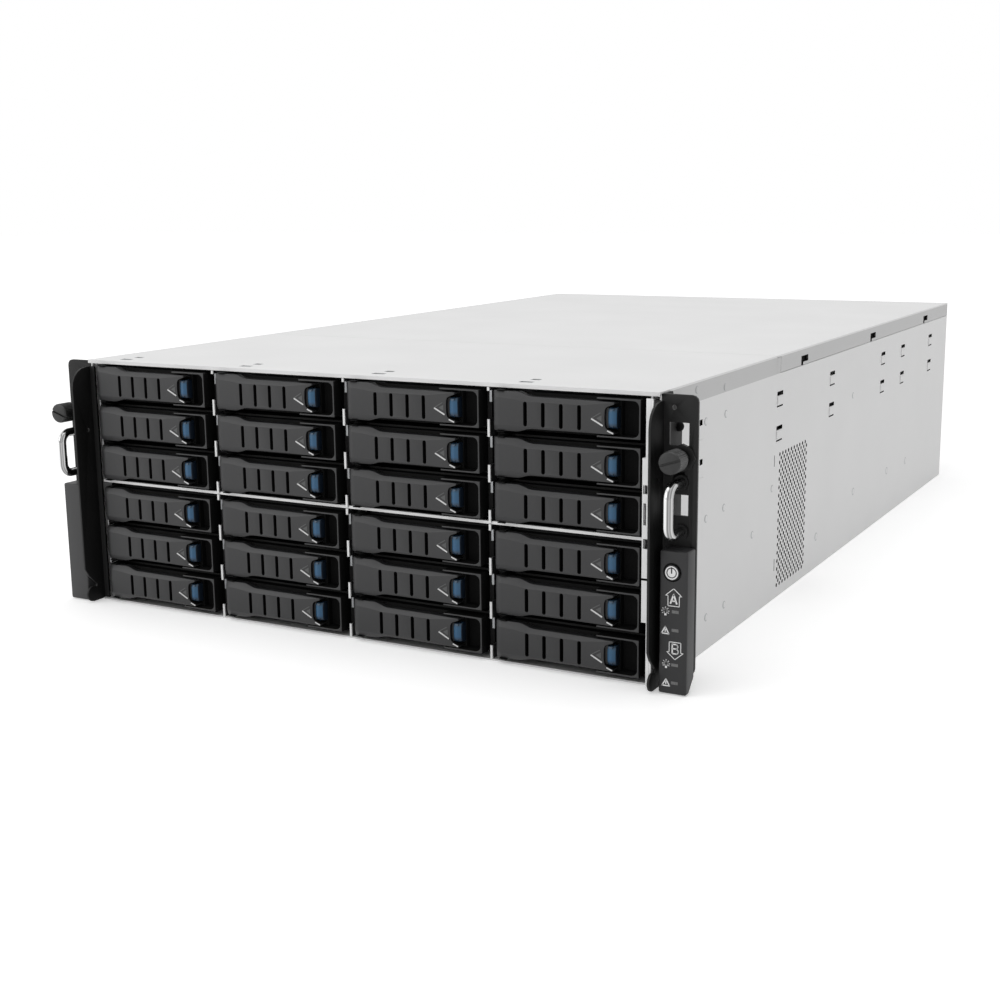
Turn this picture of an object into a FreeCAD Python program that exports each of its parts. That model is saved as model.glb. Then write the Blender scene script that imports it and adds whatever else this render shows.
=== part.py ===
import FreeCAD, Part
import math
import os

os.makedirs("parts", exist_ok=True)

# Body of the chassis, in mm. Y is zero at the front edge of the top cover
rack_width = 482.6
body_height = 176.0
body_depth = 750.0
ear_reach = 22.3
sheet = 1.2
side_front = 3.0
lid_start = 211.0
seam_drop = 12.8
body_width = rack_width - 2 * ear_reach
half = body_width / 2
inner = half - sheet
top_under = body_height - sheet
seam_height = body_height - seam_drop
ear_half = rack_width / 2

# Number of flats on small, middle and large rounds
small_flat_count = 6
middle_flat_count = 8
large_flat_count = 12

# Clearances between pieces that move past each other
moving_gap = 0.3
slide_gap = 0.4

# Bays for the drive carriers, in an upper and a lower group of rows with a shelf between
columns = 4
rows_per_group = 3
side_room = 5.4
row_spare = 1.9
cage_sheet = 1.0
cage_end = 178.0
shelf_hem = 1.8
ledge_reach = 2.3
ledge_sheet = 0.8
shelf_height = body_height / 2
column_pitch = (body_width - 2 * side_room) / columns
row_pitch = (shelf_height - sheet - row_spare) / rows_per_group
lower_rows_middle = (sheet + shelf_height) / 2
upper_rows_middle = lower_rows_middle + shelf_height - cage_sheet

# Carrier tray and drive
tray_sheet = 0.6
tray_room = 2.5
tray_setback = 6.0
drive_front = 20.0
drive_setback = 5.0
drive_side_room = 2.6
drive_room = 0.3
ear_half_wide = 2.6
tray_end = cage_end - tray_setback
rail_tall = (row_pitch - tray_room) / 2
drive_width = column_pitch - 2 * drive_side_room
drive_length = tray_end - drive_setback - drive_front
drive_tall = 2 * (rail_tall - drive_room)
rail_outer = drive_width / 2 + tray_sheet
ledge_drop = rail_tall + moving_gap

# Outer walls of the cage, and the flange on the right one, with windows measured from the wall and the step
wall_setback = 1.2
flange_front = -9.0
flange_low = 2.6
flange_inset = 1.6
flange_step_drop = 37.0
flange_step_in = 2.1
flange_foot_drop = 46.6
flange_foot_in = 3.0
flange_windows = ((0.5, 3.3, 20.9, 15.7), (0.8, 2.5, 39.3, 26.4), (0.8, 4.0, 53.3, 47.4))
wall_inner = columns * column_pitch / 2 - wall_setback
wall_outer = wall_inner + cage_sheet
flange_outer = half - flange_inset
flange_step = body_height - flange_step_drop
flange_top = top_under - sheet - moving_gap
flange_foot = shelf_height - flange_foot_drop

# Stepped front edge of the cage sheets, measured from each row boundary
tab_front = 0.0
tab_above = 7.8
tab_below = 3.0
step_front = 3.2
step_below = 10.1
notch_front = 12.0

# Drive carrier front
bezel_side_room = 4.9
bezel_inset = 1.2
bezel_back = 8.0
plate_front = 2.5
heel_room = 5.4
rim_front = -3.5
rim_long = 27.8
rim_wall = 1.1
rim_corner = 3.0
pocket_long = 14.3
pocket_floor = 6.8
bezel_half = column_pitch / 2 - bezel_side_room
bezel_tall = 2 * (rail_tall - bezel_inset)
rim_start = bezel_half - rim_long
pocket_start = bezel_half - pocket_long

# Carrier lever and its latch
lever_front = -5.0
lever_back = 2.2
lever_inset = 0.9
lever_short = 16.1
waist_drop = 4.8
shoulder_start = 17.8
shoulder_run = 8.1
facet_slope = 0.45
upper_facet = 2.9
lower_facet = 1.3
pivot_inset = 5.2
pivot_depth = -1.4
pin_radius = 1.0
pin_room = 0.6
lever_skin = 2.5
slot_first = 22.9
slot_pitch = 11.9
slot_count = 4
slot_width = 1.9
slot_margin = 2.2
slot_drop = 0.8
latch_width = 5.6
latch_margin = 3.3
latch_overhang = 1.4
latch_bulge = 1.0
latch_room = 1.9
lever_tall = 2 * (rail_tall - lever_inset)
lever_waist = lever_tall - waist_drop
facet_high = lever_waist / 2 - upper_facet
facet_low = lever_waist / 2 - lower_facet
slot_tall = lever_waist - 2 * slot_margin
latch_tall = lever_waist - 2 * latch_margin
lever_length = 2 * bezel_half - lever_short
lever_left = -bezel_half
lever_right = lever_left + lever_length
pivot_x = lever_left + pivot_inset

# Backplane
board_sheet = 2.4
board_margin = 3.0
connector_long = 42.0
connector_tall = 5.5
connector_drop = 8.2
connector_left = 44.0
window_wide = 40.0
window_over = 3.4
window_tall = 2 * row_pitch + window_over

# Boxes on the lower half of the ears
ear_box_inset = 5.0
ear_box_front = -9.9
ear_box_low = 0.6
ear_box_drop = 1.5
ear_box_wall = 1.6
ear_box_heel = 8.0
ear_box_inner = half + ear_box_inset
ear_box_high = shelf_height - ear_box_drop
button_drop = 12.7
button_inset = 7.8
button_radius = 4.6
button_flange = 5.8
button_proud = 0.7
button_travel = 1.2
button_x = ear_box_inner + button_inset
button_z = ear_box_high - button_drop
lens_inset = 7.2
lens_wide = 4.2
lens_tall = 1.8
lens_rows = (50.6, 39.5, 18.6, 7.6)
lens_x = ear_half - lens_inset

# Captive thumbscrews in the ears, and pull handles between them and the boxes
hole_inset = 8.75
knob_radius = 7.4
knob_front = -18.8
knob_back = -6.0
neck_radius = 5.2
neck_back = -1.4
shaft_radius = 2.9
shaft_end = 17.0
thread_radius = 2.5
thread_start = 5.4
driver_slot = 1.6
driver_depth = 1.8
knob_bevel = 1.0
bush_radius = 8.2
bush_front = 0.4
shaft_gap = 0.6
handle_inset = 9.3
handle_rod = 3.0
handle_lift = 9.0
handle_tall = 29.0
handle_reach = -17.5
handle_bend = 6.0
screw_lift = 14.4
handle_x = ear_half - handle_inset
handle_low = ear_box_high + handle_lift
handle_high = handle_low + handle_tall
screw_x = ear_half - hole_inset
screw_z = handle_high + screw_lift

# Rack ears with their forward guards
ear_front = 2.9
ear_sheet = 2.0
ear_drop = 1.0
ear_bottom = 9.0
ear_corner = 4.0
guard_sheet = 1.5
guard_front = -16.5
guard_back = 31.0
guard_drop = 5.0
guard_bottom = 0.6
guard_corner = 14.0
guard_lip = 3.8
guard_tab = 16.0
lobe_y = -10.0
lobe_z = 6.2
lobe_radius = 5.6
window_rim = 5.3
window_upper_lift = 6.7
window_upper_tall = 13.4
window_lower_lift = 9.1
window_lower_tall = 12.5
ear_top = body_height - ear_drop
guard_top = body_height - guard_drop
window_outer = ear_half - window_rim

# Flange of the top cover, and the lid with its hooks
cover_flange = 5.2
hook_first = 69.0
hook_last = 89.0
hook_count = 3
hook_lift = 4.8
hook_radius = 1.8
hook_room = 0.5
lid_travel = 12.0
lid_notch = 8.0
hook_z = seam_height + hook_lift
hook_pitch = (body_depth - lid_start - hook_first - hook_last) / (hook_count - 1)
hook_rows = [lid_start + hook_first + n * hook_pitch for n in range(hook_count)]
lip_outer = inner - moving_gap
lip_inner = lip_outer - sheet

# Rear bays for the two controller canisters and the two power supplies
bay_deep = 450.0
bay_wall_inset = 100.2
canister_room = 2.3
canister_setback = 2.0
canister_sheet = 1.0
panel_sheet = 1.5
board_lift = 6.0
board_start = 45.0
board_edge = 8.0
port_deep = 18.0
rail_inset = 40.0
rail_half = 2.0
lug_sheet = 2.0
strut_deep = 2.5
sink_size = 70.0
sink_tall = 38.0
stick_long = 135.0
stick_tall = 31.0
stick_sheet = 3.0
stick_pitch = 8.0
stick_gap = 7.0
pcb_sheet = 1.6
bay_front = body_depth - bay_deep
bay_wall_x = half - bay_wall_inset
bay_shelf = shelf_height - sheet / 2
canister_tall = bay_shelf - sheet - slide_gap - canister_room
canister_front = bay_front + canister_setback
panel_back = body_depth - panel_sheet

# Cut-outs in a canister panel: left edge, low edge, width and height. The last two are air vents
port_cuts = ((40, 16, 34, 14), (84, 16, 16, 8), (110, 16, 30, 12), (160, 16, 24, 24),
             (210, 60, 100, 12), (210, 36, 100, 12))
port_count = 4

# Canister fans and ejector levers, and the power supplies
fan_room = 3.5
fan_deep = 25.0
fan_wall = 1.2
fan_hub = 16.0
fan_nose = 0.6
tip_gap = 4.8
blade_count = 5
fan_offset = 80.0
eject_long = 92.0
eject_tall = 13.0
eject_thick = 4.0
eject_inset = 16.0
eject_pin = 1.5
eject_barrel = 4.2
eject_room = 0.8
supply_long = 268.5
supply_handle_reach = 22.0
supply_fan = 30.0
fan_size = canister_tall - fan_room
fan_bore = fan_size / 2 - fan_wall
fan_tip = fan_bore - tip_gap
supply_front = panel_back - supply_long

shapes = {}


def box(x0, x1, y0, y1, z0, z1):
    low = FreeCAD.Vector(min(x0, x1), min(y0, y1), min(z0, z1))
    return Part.makeBox(abs(x1 - x0), abs(y1 - y0), abs(z1 - z0), low)


def prism_xz(points, y0, y1):
    corners = [FreeCAD.Vector(x, y0, z) for x, z in points]
    face = Part.Face(Part.makePolygon(corners + corners[:1]))
    return face.extrude(FreeCAD.Vector(0, y1 - y0, 0))


def prism_yz(points, x0, x1):
    corners = [FreeCAD.Vector(x0, y, z) for y, z in points]
    face = Part.Face(Part.makePolygon(corners + corners[:1]))
    return face.extrude(FreeCAD.Vector(x1 - x0, 0, 0))


def prism_xy(points, z0, z1):
    corners = [FreeCAD.Vector(x, y, z0) for x, y in points]
    face = Part.Face(Part.makePolygon(corners + corners[:1]))
    return face.extrude(FreeCAD.Vector(0, 0, z1 - z0))


def arc_points(cx, cy, radius, start, end, count):
    points = []
    for step in range(count + 1):
        angle = math.radians(start + (end - start) * step / count)
        points.append((cx + radius * math.cos(angle), cy + radius * math.sin(angle)))
    return points


# Small rounds are drawn with a few flats, so that repeated pieces stay light
def flats(cx, cy, radius, count):
    return arc_points(cx, cy, radius, 0, 360, count)[:-1]


def rod_y(x, z, radius, y0, y1, count):
    return prism_xz(flats(x, z, radius, count), y0, y1)


def rod_z(x, y, radius, z0, z1, count):
    return prism_xy(flats(x, y, radius, count), z0, z1)


def rod_x(y, z, radius, x0, x1, count):
    return prism_yz(flats(y, z, radius, count), x0, x1)


def join(pieces):
    whole = pieces[0]
    for piece in pieces[1:]:
        whole = whole.fuse(piece)
    return whole.removeSplitter()


def group(pieces):
    return Part.makeCompound(pieces)


def mirrored(shape):
    return shape.mirror(FreeCAD.Vector(0, 0, 0), FreeCAD.Vector(1, 0, 0))


def moved(shape, x, y, z):
    copy = shape.copy()
    copy.translate(FreeCAD.Vector(x, y, z))
    return copy


def without_repeats(points):
    kept = []
    for point in points:
        if not kept or math.dist(point, kept[-1]) > 0.01:
            kept.append(point)
    return kept


# Bay centres, counted from the top left, four to a row
def bay_centre(bay):
    row = bay // columns
    column = bay % columns
    x = (column - (columns - 1) / 2) * column_pitch
    if row < rows_per_group:
        return x, upper_rows_middle + (1 - row) * row_pitch
    return x, lower_rows_middle + (1 + rows_per_group - row) * row_pitch


# Chassis base: floor and both sides, with a joggled lip that carries the lid
def make_base():
    pieces = [box(-half, half, 0, body_depth, 0, sheet)]
    for side in (-1, 1):
        pieces.append(box(side * inner, side * half, side_front, lid_start, 0, top_under))
        pieces.append(box(side * inner, side * half, lid_start, body_depth, 0, seam_height))
        pieces.append(box(side * lip_inner, side * half, lid_start, body_depth,
                          seam_height - sheet, seam_height))
        pieces.append(box(side * lip_inner, side * lip_outer, lid_start, body_depth,
                          seam_height, top_under - slide_gap))
        for y in hook_rows:
            pieces.append(rod_x(y, hook_z, hook_radius, side * lip_outer, side * half, small_flat_count))
    return join(pieces)


# Fixed top cover over the drive cage
def make_front_cover():
    pieces = [box(-half, half, 0, lid_start - slide_gap, top_under, body_height)]
    pieces.append(box(-half, half, 0, sheet, top_under - sheet, top_under))
    for side in (-1, 1):
        pieces.append(box(side * (inner - sheet), side * inner, 2 * side_front, lid_start - 2 * side_front,
                          seam_height - cover_flange, top_under))
    return join(pieces)


# Rear lid: a plate, and under each side a welded strip with hook slots
def make_rear_lid():
    solids = [box(-half, half, lid_start, body_depth, top_under, body_height)]
    reach = hook_radius + hook_room
    for side in (-1, 1):
        strip = box(side * inner, side * half, lid_start + lid_notch, body_depth,
                    seam_height + moving_gap, top_under)
        cuts = []
        for y in hook_rows:
            cuts.append(box(side * (inner - 1), side * (half + 1), y - lid_travel - reach, y + reach,
                            hook_z - reach, hook_z + reach))
            cuts.append(box(side * (inner - 1), side * (half + 1), y - lid_travel - reach,
                            y - lid_travel + reach, seam_height - 1, hook_z))
        solids.append(strip.cut(group(cuts)))
    return group(solids)


# Front edge of a cage sheet, stepped at every row
def stepped_sheet(low, high, boundaries, back):
    points = [(back, low), (back, high)]
    points.append((notch_front, high))
    for boundary in boundaries:
        levels = ((notch_front, boundary + tab_above), (tab_front, boundary + tab_above),
                  (tab_front, boundary - tab_below), (step_front, boundary - tab_below),
                  (step_front, boundary - step_below), (notch_front, boundary - step_below))
        points.extend((y, min(max(z, low), high)) for y, z in levels)
    points.append((notch_front, low))
    return without_repeats(points)


def ledge(x, side, z):
    top = z - ledge_drop
    return box(x, x + side * ledge_reach, notch_front, cage_end, top - ledge_sheet, top)


def row_group(middle):
    rows = [middle + (1 - row) * row_pitch for row in range(rows_per_group)]
    boundaries = [middle + (1.5 - row) * row_pitch for row in range(rows_per_group + 1)]
    return rows, boundaries


cage_groups = ((upper_rows_middle, shelf_height + cage_sheet, top_under),
               (lower_rows_middle, sheet, shelf_height))


# Upright sheets between the columns of bays, with ledges for the carriers
def make_dividers():
    solids = []
    for column in range(1, columns):
        x = (column - columns / 2) * column_pitch
        for middle, low, high in cage_groups:
            rows, boundaries = row_group(middle)
            outline = stepped_sheet(low, high, boundaries, cage_end)
            pieces = [prism_yz(outline, x - cage_sheet / 2, x + cage_sheet / 2)]
            for z in rows:
                for side in (-1, 1):
                    pieces.append(ledge(x + side * cage_sheet / 2, side, z))
            lip_room = box(x - cage_sheet, x + cage_sheet, tab_front - 1, sheet + moving_gap,
                           top_under - sheet - moving_gap, top_under + 1)
            solids.append(join(pieces).cut(lip_room))
    return group(solids)


# Outer walls of the cage. The right one carries a flange in front of the bays
def make_cage_walls():
    solids = []
    for side in (-1, 1):
        pieces = []
        if side < 0:
            pieces.append(box(-wall_outer, -wall_inner, notch_front, cage_end, sheet, top_under))
            for middle in (upper_rows_middle, lower_rows_middle):
                for boundary in row_group(middle)[1][1:-1]:
                    pieces.append(box(-wall_outer, -wall_inner, step_front, notch_front,
                                      boundary - tab_below, boundary + tab_above))
        else:
            pieces.append(box(wall_inner, wall_outer, side_front, cage_end, sheet, top_under))
            pieces.append(box(wall_inner, wall_outer, flange_front, side_front, flange_low, flange_top))
            pieces.append(box(wall_inner, flange_outer, flange_front, flange_front + cage_sheet,
                              flange_low, flange_top))
        for middle in (upper_rows_middle, lower_rows_middle):
            for z in row_group(middle)[0]:
                pieces.append(ledge(side * wall_inner, -side, z))
        wall = join(pieces)
        if side > 0:
            cuts = [box(wall_inner - 1, wall_inner + flange_step_in, flange_front - 1, side_front,
                        flange_step, flange_top + 1),
                    box(wall_inner - 1, wall_inner + flange_foot_in, flange_front - 1, side_front,
                        flange_low - 1, flange_foot)]
            for x0, x1, low, high in flange_windows:
                cuts.append(box(wall_inner + x0, wall_inner + x1, flange_front - 1,
                                flange_front + cage_sheet + 0.5, flange_step - low, flange_step - high))
            wall = wall.cut(group(cuts))
        solids.append(wall)
    return group(solids)


# Shelf between the upper and the lower rows, with a folded front hem
def make_shelf():
    plate = box(-wall_inner, wall_inner, 2, cage_end, shelf_height, shelf_height + cage_sheet)
    hem = box(-wall_inner, wall_inner, 1, step_front, shelf_height, shelf_height + shelf_hem)
    gaps = []
    for column in range(1, columns):
        x = (column - columns / 2) * column_pitch
        gaps.append(box(x - cage_sheet, x + cage_sheet, 0, notch_front,
                        shelf_height + cage_sheet, shelf_height + shelf_hem + 1))
    return plate.fuse(hem.cut(group(gaps))).removeSplitter()


# Backplane board with air windows and one connector for each drive
def make_backplane():
    board = box(-wall_inner, wall_inner, cage_end, cage_end + board_sheet,
                board_margin, top_under - board_margin)
    windows = []
    connectors = []
    for bay in range(2 * rows_per_group * columns):
        x, z = bay_centre(bay)
        if bay // columns % rows_per_group == 1:
            windows.append(box(x, x + window_wide, cage_end - 1, cage_end + board_sheet + 1,
                               z - window_tall / 2, z + window_tall / 2))
        left = x - connector_left
        low = z - connector_drop - connector_tall / 2
        connectors.append(box(left, left + connector_long, drive_front + drive_length + slide_gap, cage_end,
                              low, low + connector_tall))
    return group([board.cut(group(windows))] + connectors)


# Carrier front: a plate with a raised rim round the finger pocket, and room for the heel of a swinging lever
def carrier_bezel(swings):
    tall = bezel_tall / 2
    low = tall - rim_wall
    near = bezel_half - rim_wall
    plate = box(-bezel_half, bezel_half, plate_front, bezel_back, -tall, tall)
    rim = box(rim_start, bezel_half, rim_front, plate_front, -tall, tall)
    corner = [(near - rim_corner, -low), (near, rim_corner - low), (near, low - rim_corner),
              (near - rim_corner, low)]
    hollow = prism_xz([(rim_start - 1, -low)] + corner + [(rim_start - 1, low)], rim_front - 1, plate_front)
    pocket = prism_xz([(pocket_start, -low)] + corner + [(pocket_start, low)], rim_front - 1, pocket_floor)
    front = join([plate, rim]).cut(hollow).cut(pocket)
    if swings:
        front = front.cut(box(-bezel_half - 1, pivot_x + pivot_inset + 1, plate_front - 1, heel_room,
                              -tall - 1, tall + 1))
    return front


# Carrier tray: a bent strip with two rails. Where the lever swings, two ears hold its round pin
def carrier_tray(swings):
    back = bezel_back + tray_sheet
    rail_inner = rail_outer - tray_sheet
    strip = [(-rail_outer, tray_end), (-rail_outer, bezel_back), (rail_outer, bezel_back),
             (rail_outer, tray_end), (rail_inner, tray_end), (rail_inner, back), (-rail_inner, back),
             (-rail_inner, tray_end)]
    pieces = [prism_xy(strip, -rail_tall, rail_tall)]
    if swings:
        front = pivot_depth - ear_half_wide
        for low in (-rail_tall, rail_tall - tray_sheet):
            pieces.append(box(pivot_x - ear_half_wide, pivot_x + ear_half_wide, front, back,
                              low, low + tray_sheet))
        start = FreeCAD.Vector(pivot_x, pivot_depth, tray_sheet - rail_tall)
        pieces.append(Part.makeCylinder(pin_radius, 2 * (rail_tall - tray_sheet), start))
    return join(pieces)


# Hard disk in the carrier
def carrier_drive():
    wide = drive_width / 2
    return box(-wide, wide, drive_front, drive_front + drive_length, -drive_tall / 2, drive_tall / 2)


# Lever: wide at its pin, waisted towards the latch. One that swings is hollow behind, with open slots
def carrier_lever(swings):
    tall = lever_tall / 2
    waist = lever_waist / 2
    shoulder = lever_left + shoulder_start
    slim = shoulder + shoulder_run
    upper = [(lever_right, waist), (slim, waist), (shoulder, tall), (lever_left, tall)]
    lower = [(x, -z) for x, z in reversed(upper)]
    soft = pivot_inset * 0.6
    plan = [(lever_left, lever_front + soft), (lever_left + soft, lever_front), (lever_right, lever_front),
            (lever_right, lever_back)]
    plan += [(lever_left + soft, lever_back), (lever_left, lever_back - soft)] if swings else [
        (lever_left, lever_back)]
    body = prism_xz(lower + upper, lever_front, lever_back).common(prism_xy(plan, -tall, tall))
    latch_left = lever_right + latch_overhang - latch_width - latch_room
    notch_tall = latch_tall / 2 + moving_gap
    skin_back = lever_front + lever_skin
    cuts = [box(latch_left, lever_right + 1, lever_front - 1, lever_back + 1, -notch_tall, notch_tall)]
    if swings:
        cuts.append(box(pivot_x + pivot_inset, latch_left - lever_skin, skin_back, lever_back + 1,
                        -facet_low, facet_high))
        cuts.append(rod_z(pivot_x, pivot_depth, pin_radius + pin_room, -tall - 1, tall + 1, small_flat_count))
    over = tall + 1
    for start, side in ((facet_high, 1), (facet_low, -1)):
        deep = lever_front + facet_slope * (over - start)
        facet = [(lever_front, side * start), (lever_front, side * over), (deep, side * over)]
        cuts.append(prism_yz(facet, lever_left - 1, lever_right + 1))
    for slot in range(slot_count):
        x = lever_left + slot_first + slot * slot_pitch
        cuts.append(box(x - slot_width / 2, x + slot_width / 2, lever_front - 1, skin_back,
                        -slot_drop - slot_tall / 2, -slot_drop + slot_tall / 2))
    for cut in cuts:
        body = body.cut(cut)
    return body.removeSplitter()


# Release latch at the free end of the lever, with a bulged inner edge
def carrier_latch():
    right = lever_right + latch_overhang
    left = right - latch_width
    tall = latch_tall / 2
    front_view = [(left + latch_bulge, -tall), (right, -tall), (right, tall), (left + latch_bulge, tall),
                  (left, tall * 0.4), (left, -tall * 0.4)]
    return prism_xz(front_view, lever_front + 0.4, lever_back)


# Rack ear bracket: ear plate, side flange, forward guard and its retaining bush
def make_ear():
    ear_back = ear_front + ear_sheet
    guard_outer = half + guard_sheet
    rim = ear_half - ear_corner
    outline = [(half, ear_bottom)]
    outline += arc_points(rim, ear_bottom + ear_corner, ear_corner, -90, 0, 3)
    outline += arc_points(rim, ear_top - ear_corner, ear_corner, 0, 90, 3)
    outline += [(half, ear_top)]
    plate = prism_xz(outline, ear_front, ear_back)
    guard = [(guard_back, guard_bottom), (lobe_y, lobe_z - lobe_radius)]
    guard += arc_points(lobe_y, lobe_z, lobe_radius, 270, 80, 8)
    guard += [(lobe_y + 3.8, lobe_z + 4.6), (lobe_y + 4.4, lobe_z + 6.6)]
    guard += [(lobe_y + 0.5, lobe_z + 10.2), (lobe_y - 3.6, lobe_z + 14.4), (guard_front, lobe_z + 19.5)]
    guard += arc_points(guard_front + guard_corner, guard_top - guard_corner, guard_corner, 180, 90, 5)
    guard += [(ear_back, guard_top), (ear_back, ear_top), (guard_tab, ear_top), (guard_tab + 2, guard_top)]
    guard += [(guard_back, guard_top)]
    blade = prism_yz(without_repeats(guard), half, guard_outer)
    lip = box(half - guard_lip, guard_outer, side_front - guard_sheet, side_front,
              guard_bottom + 1, guard_top)
    bracket = join([plate, blade, lip])
    hole = shaft_radius + shaft_gap
    cuts = []
    for low, tall in ((screw_z + window_upper_lift, window_upper_tall),
                      (handle_low + window_lower_lift, window_lower_tall)):
        cuts.append(box(ear_box_inner, window_outer, ear_front - 1, ear_back + 1, low, low + tall))
    cuts.append(rod_y(screw_x, screw_z, hole, ear_front - 1, ear_back + 1, middle_flat_count))
    bush = rod_y(screw_x, screw_z, bush_radius, bush_front, ear_front, middle_flat_count)
    bush = bush.cut(rod_y(screw_x, screw_z, hole, bush_front - 1, ear_front + 1, middle_flat_count))
    return group([bracket.cut(group(cuts)), bush])


# Captive thumbscrew: a slotted knob, a neck, a shaft and a round thread
def make_thumbscrew():
    knob = rod_y(screw_x, screw_z, knob_radius, knob_front, knob_back, large_flat_count)
    front_edges = [edge for edge in knob.Edges if edge.BoundBox.YMax < knob_front + knob_bevel]
    knob = knob.makeChamfer(knob_bevel, front_edges)
    slot = box(screw_x - driver_slot / 2, screw_x + driver_slot / 2, knob_front - 1,
               knob_front + driver_depth, screw_z - knob_radius - 1, screw_z + knob_radius + 1)
    thread = Part.makeCylinder(thread_radius, shaft_end - thread_start,
                               FreeCAD.Vector(screw_x, thread_start, screw_z), FreeCAD.Vector(0, 1, 0))
    neck = rod_y(screw_x, screw_z, neck_radius, knob_back, neck_back, middle_flat_count)
    shaft = rod_y(screw_x, screw_z, shaft_radius, neck_back, thread_start, middle_flat_count)
    return join([knob.cut(slot), neck, shaft, thread])


# Bent rod handle standing on the ear, as straight lengths that meet in mitres
def make_handle():
    path = [(ear_front, handle_low)]
    path += arc_points(handle_reach + handle_bend, handle_low + handle_bend, handle_bend, 270, 180, 3)
    path += arc_points(handle_reach + handle_bend, handle_high - handle_bend, handle_bend, 180, 90, 3)
    path += [(ear_front, handle_high)]
    rings = []
    for number, (y, z) in enumerate(path):
        before = path[max(number - 1, 0)]
        after = path[min(number + 1, len(path) - 1)]
        turn_in = math.atan2(z - before[1], y - before[0]) if number else math.pi
        turn_out = math.atan2(after[1] - z, after[0] - y) if number < len(path) - 1 else 0.0
        turn_in, turn_out = turn_in % (2 * math.pi), turn_out % (2 * math.pi)
        middle = (turn_in + turn_out) / 2
        stretch = 1 / math.cos((turn_out - turn_in) / 2)
        ring = []
        for across, along in flats(0, 0, handle_rod, middle_flat_count):
            ring.append(FreeCAD.Vector(handle_x + across, y - along * stretch * math.sin(middle),
                                       z + along * stretch * math.cos(middle)))
        rings.append(ring)
    faces = [Part.Face(Part.makePolygon(ring + ring[:1])) for ring in (rings[0], rings[-1])]
    for ring, following in zip(rings, rings[1:]):
        for k in range(middle_flat_count):
            n = (k + 1) % middle_flat_count
            corners = [ring[k], ring[n], following[n], following[k]]
            faces.append(Part.Face(Part.makePolygon(corners + corners[:1])))
    rod = Part.Solid(Part.makeShell(faces))
    return rod if rod.Volume > 0 else rod.reversed()


# Hollow box on the ear, open towards the ear plate, with a cut heel
def ear_box():
    outline = [(ear_front, ear_box_low + ear_box_heel), (ear_front - ear_box_heel, ear_box_low),
               (ear_box_front, ear_box_low), (ear_box_front, ear_box_high), (ear_front, ear_box_high)]
    wall = ear_box_wall
    room = [(ear_front + 1, ear_box_low + ear_box_heel + wall + 1),
            (ear_front - ear_box_heel, ear_box_low + wall),
            (ear_box_front + wall, ear_box_low + wall), (ear_box_front + wall, ear_box_high - wall),
            (ear_front + 1, ear_box_high - wall)]
    shell = prism_yz(outline, ear_box_inner, ear_half)
    return shell.cut(prism_yz(room, ear_box_inner + wall, ear_half - wall))


# Control panel: ear box with a button hole and small status windows
def make_control_panel():
    front = ear_box_front
    cuts = [rod_y(button_x, button_z, button_radius + 2 * moving_gap, front - 1, front + ear_box_wall + 1,
                  large_flat_count)]
    lenses = []
    for z in lens_rows:
        lens = box(lens_x - lens_wide / 2, lens_x + lens_wide / 2, front, front + ear_box_wall,
                   z - lens_tall / 2, z + lens_tall / 2)
        cuts.append(lens)
        lenses.append(lens)
    return group([ear_box().cut(group(cuts))] + lenses)


def make_button():
    back = ear_box_front + ear_box_wall + button_travel / 4
    cap = rod_y(button_x, button_z, button_radius, ear_box_front - button_proud, back, large_flat_count)
    flange = rod_y(button_x, button_z, button_flange, back, back + button_travel, large_flat_count)
    return cap.fuse(flange).removeSplitter()


# Rear bay frame: one upright wall and two shelves
def make_bay_frame():
    back = body_depth - sheet
    wall = box(bay_wall_x, bay_wall_x + sheet, bay_front, back, sheet, top_under - 2 * slide_gap)
    left = box(-inner, bay_wall_x, bay_front, back, bay_shelf, bay_shelf + sheet)
    right = box(bay_wall_x + sheet, inner, bay_front, back, bay_shelf, bay_shelf + sheet)
    return group([wall, left, right])


canister_left = slide_gap - lip_inner
canister_right = bay_wall_x - slide_gap
canister_low = {"a": bay_shelf + sheet + slide_gap, "b": sheet + slide_gap}
canister_middle = (canister_left + canister_right) / 2
eject_y = panel_back + eject_barrel + 2 * slide_gap


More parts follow.
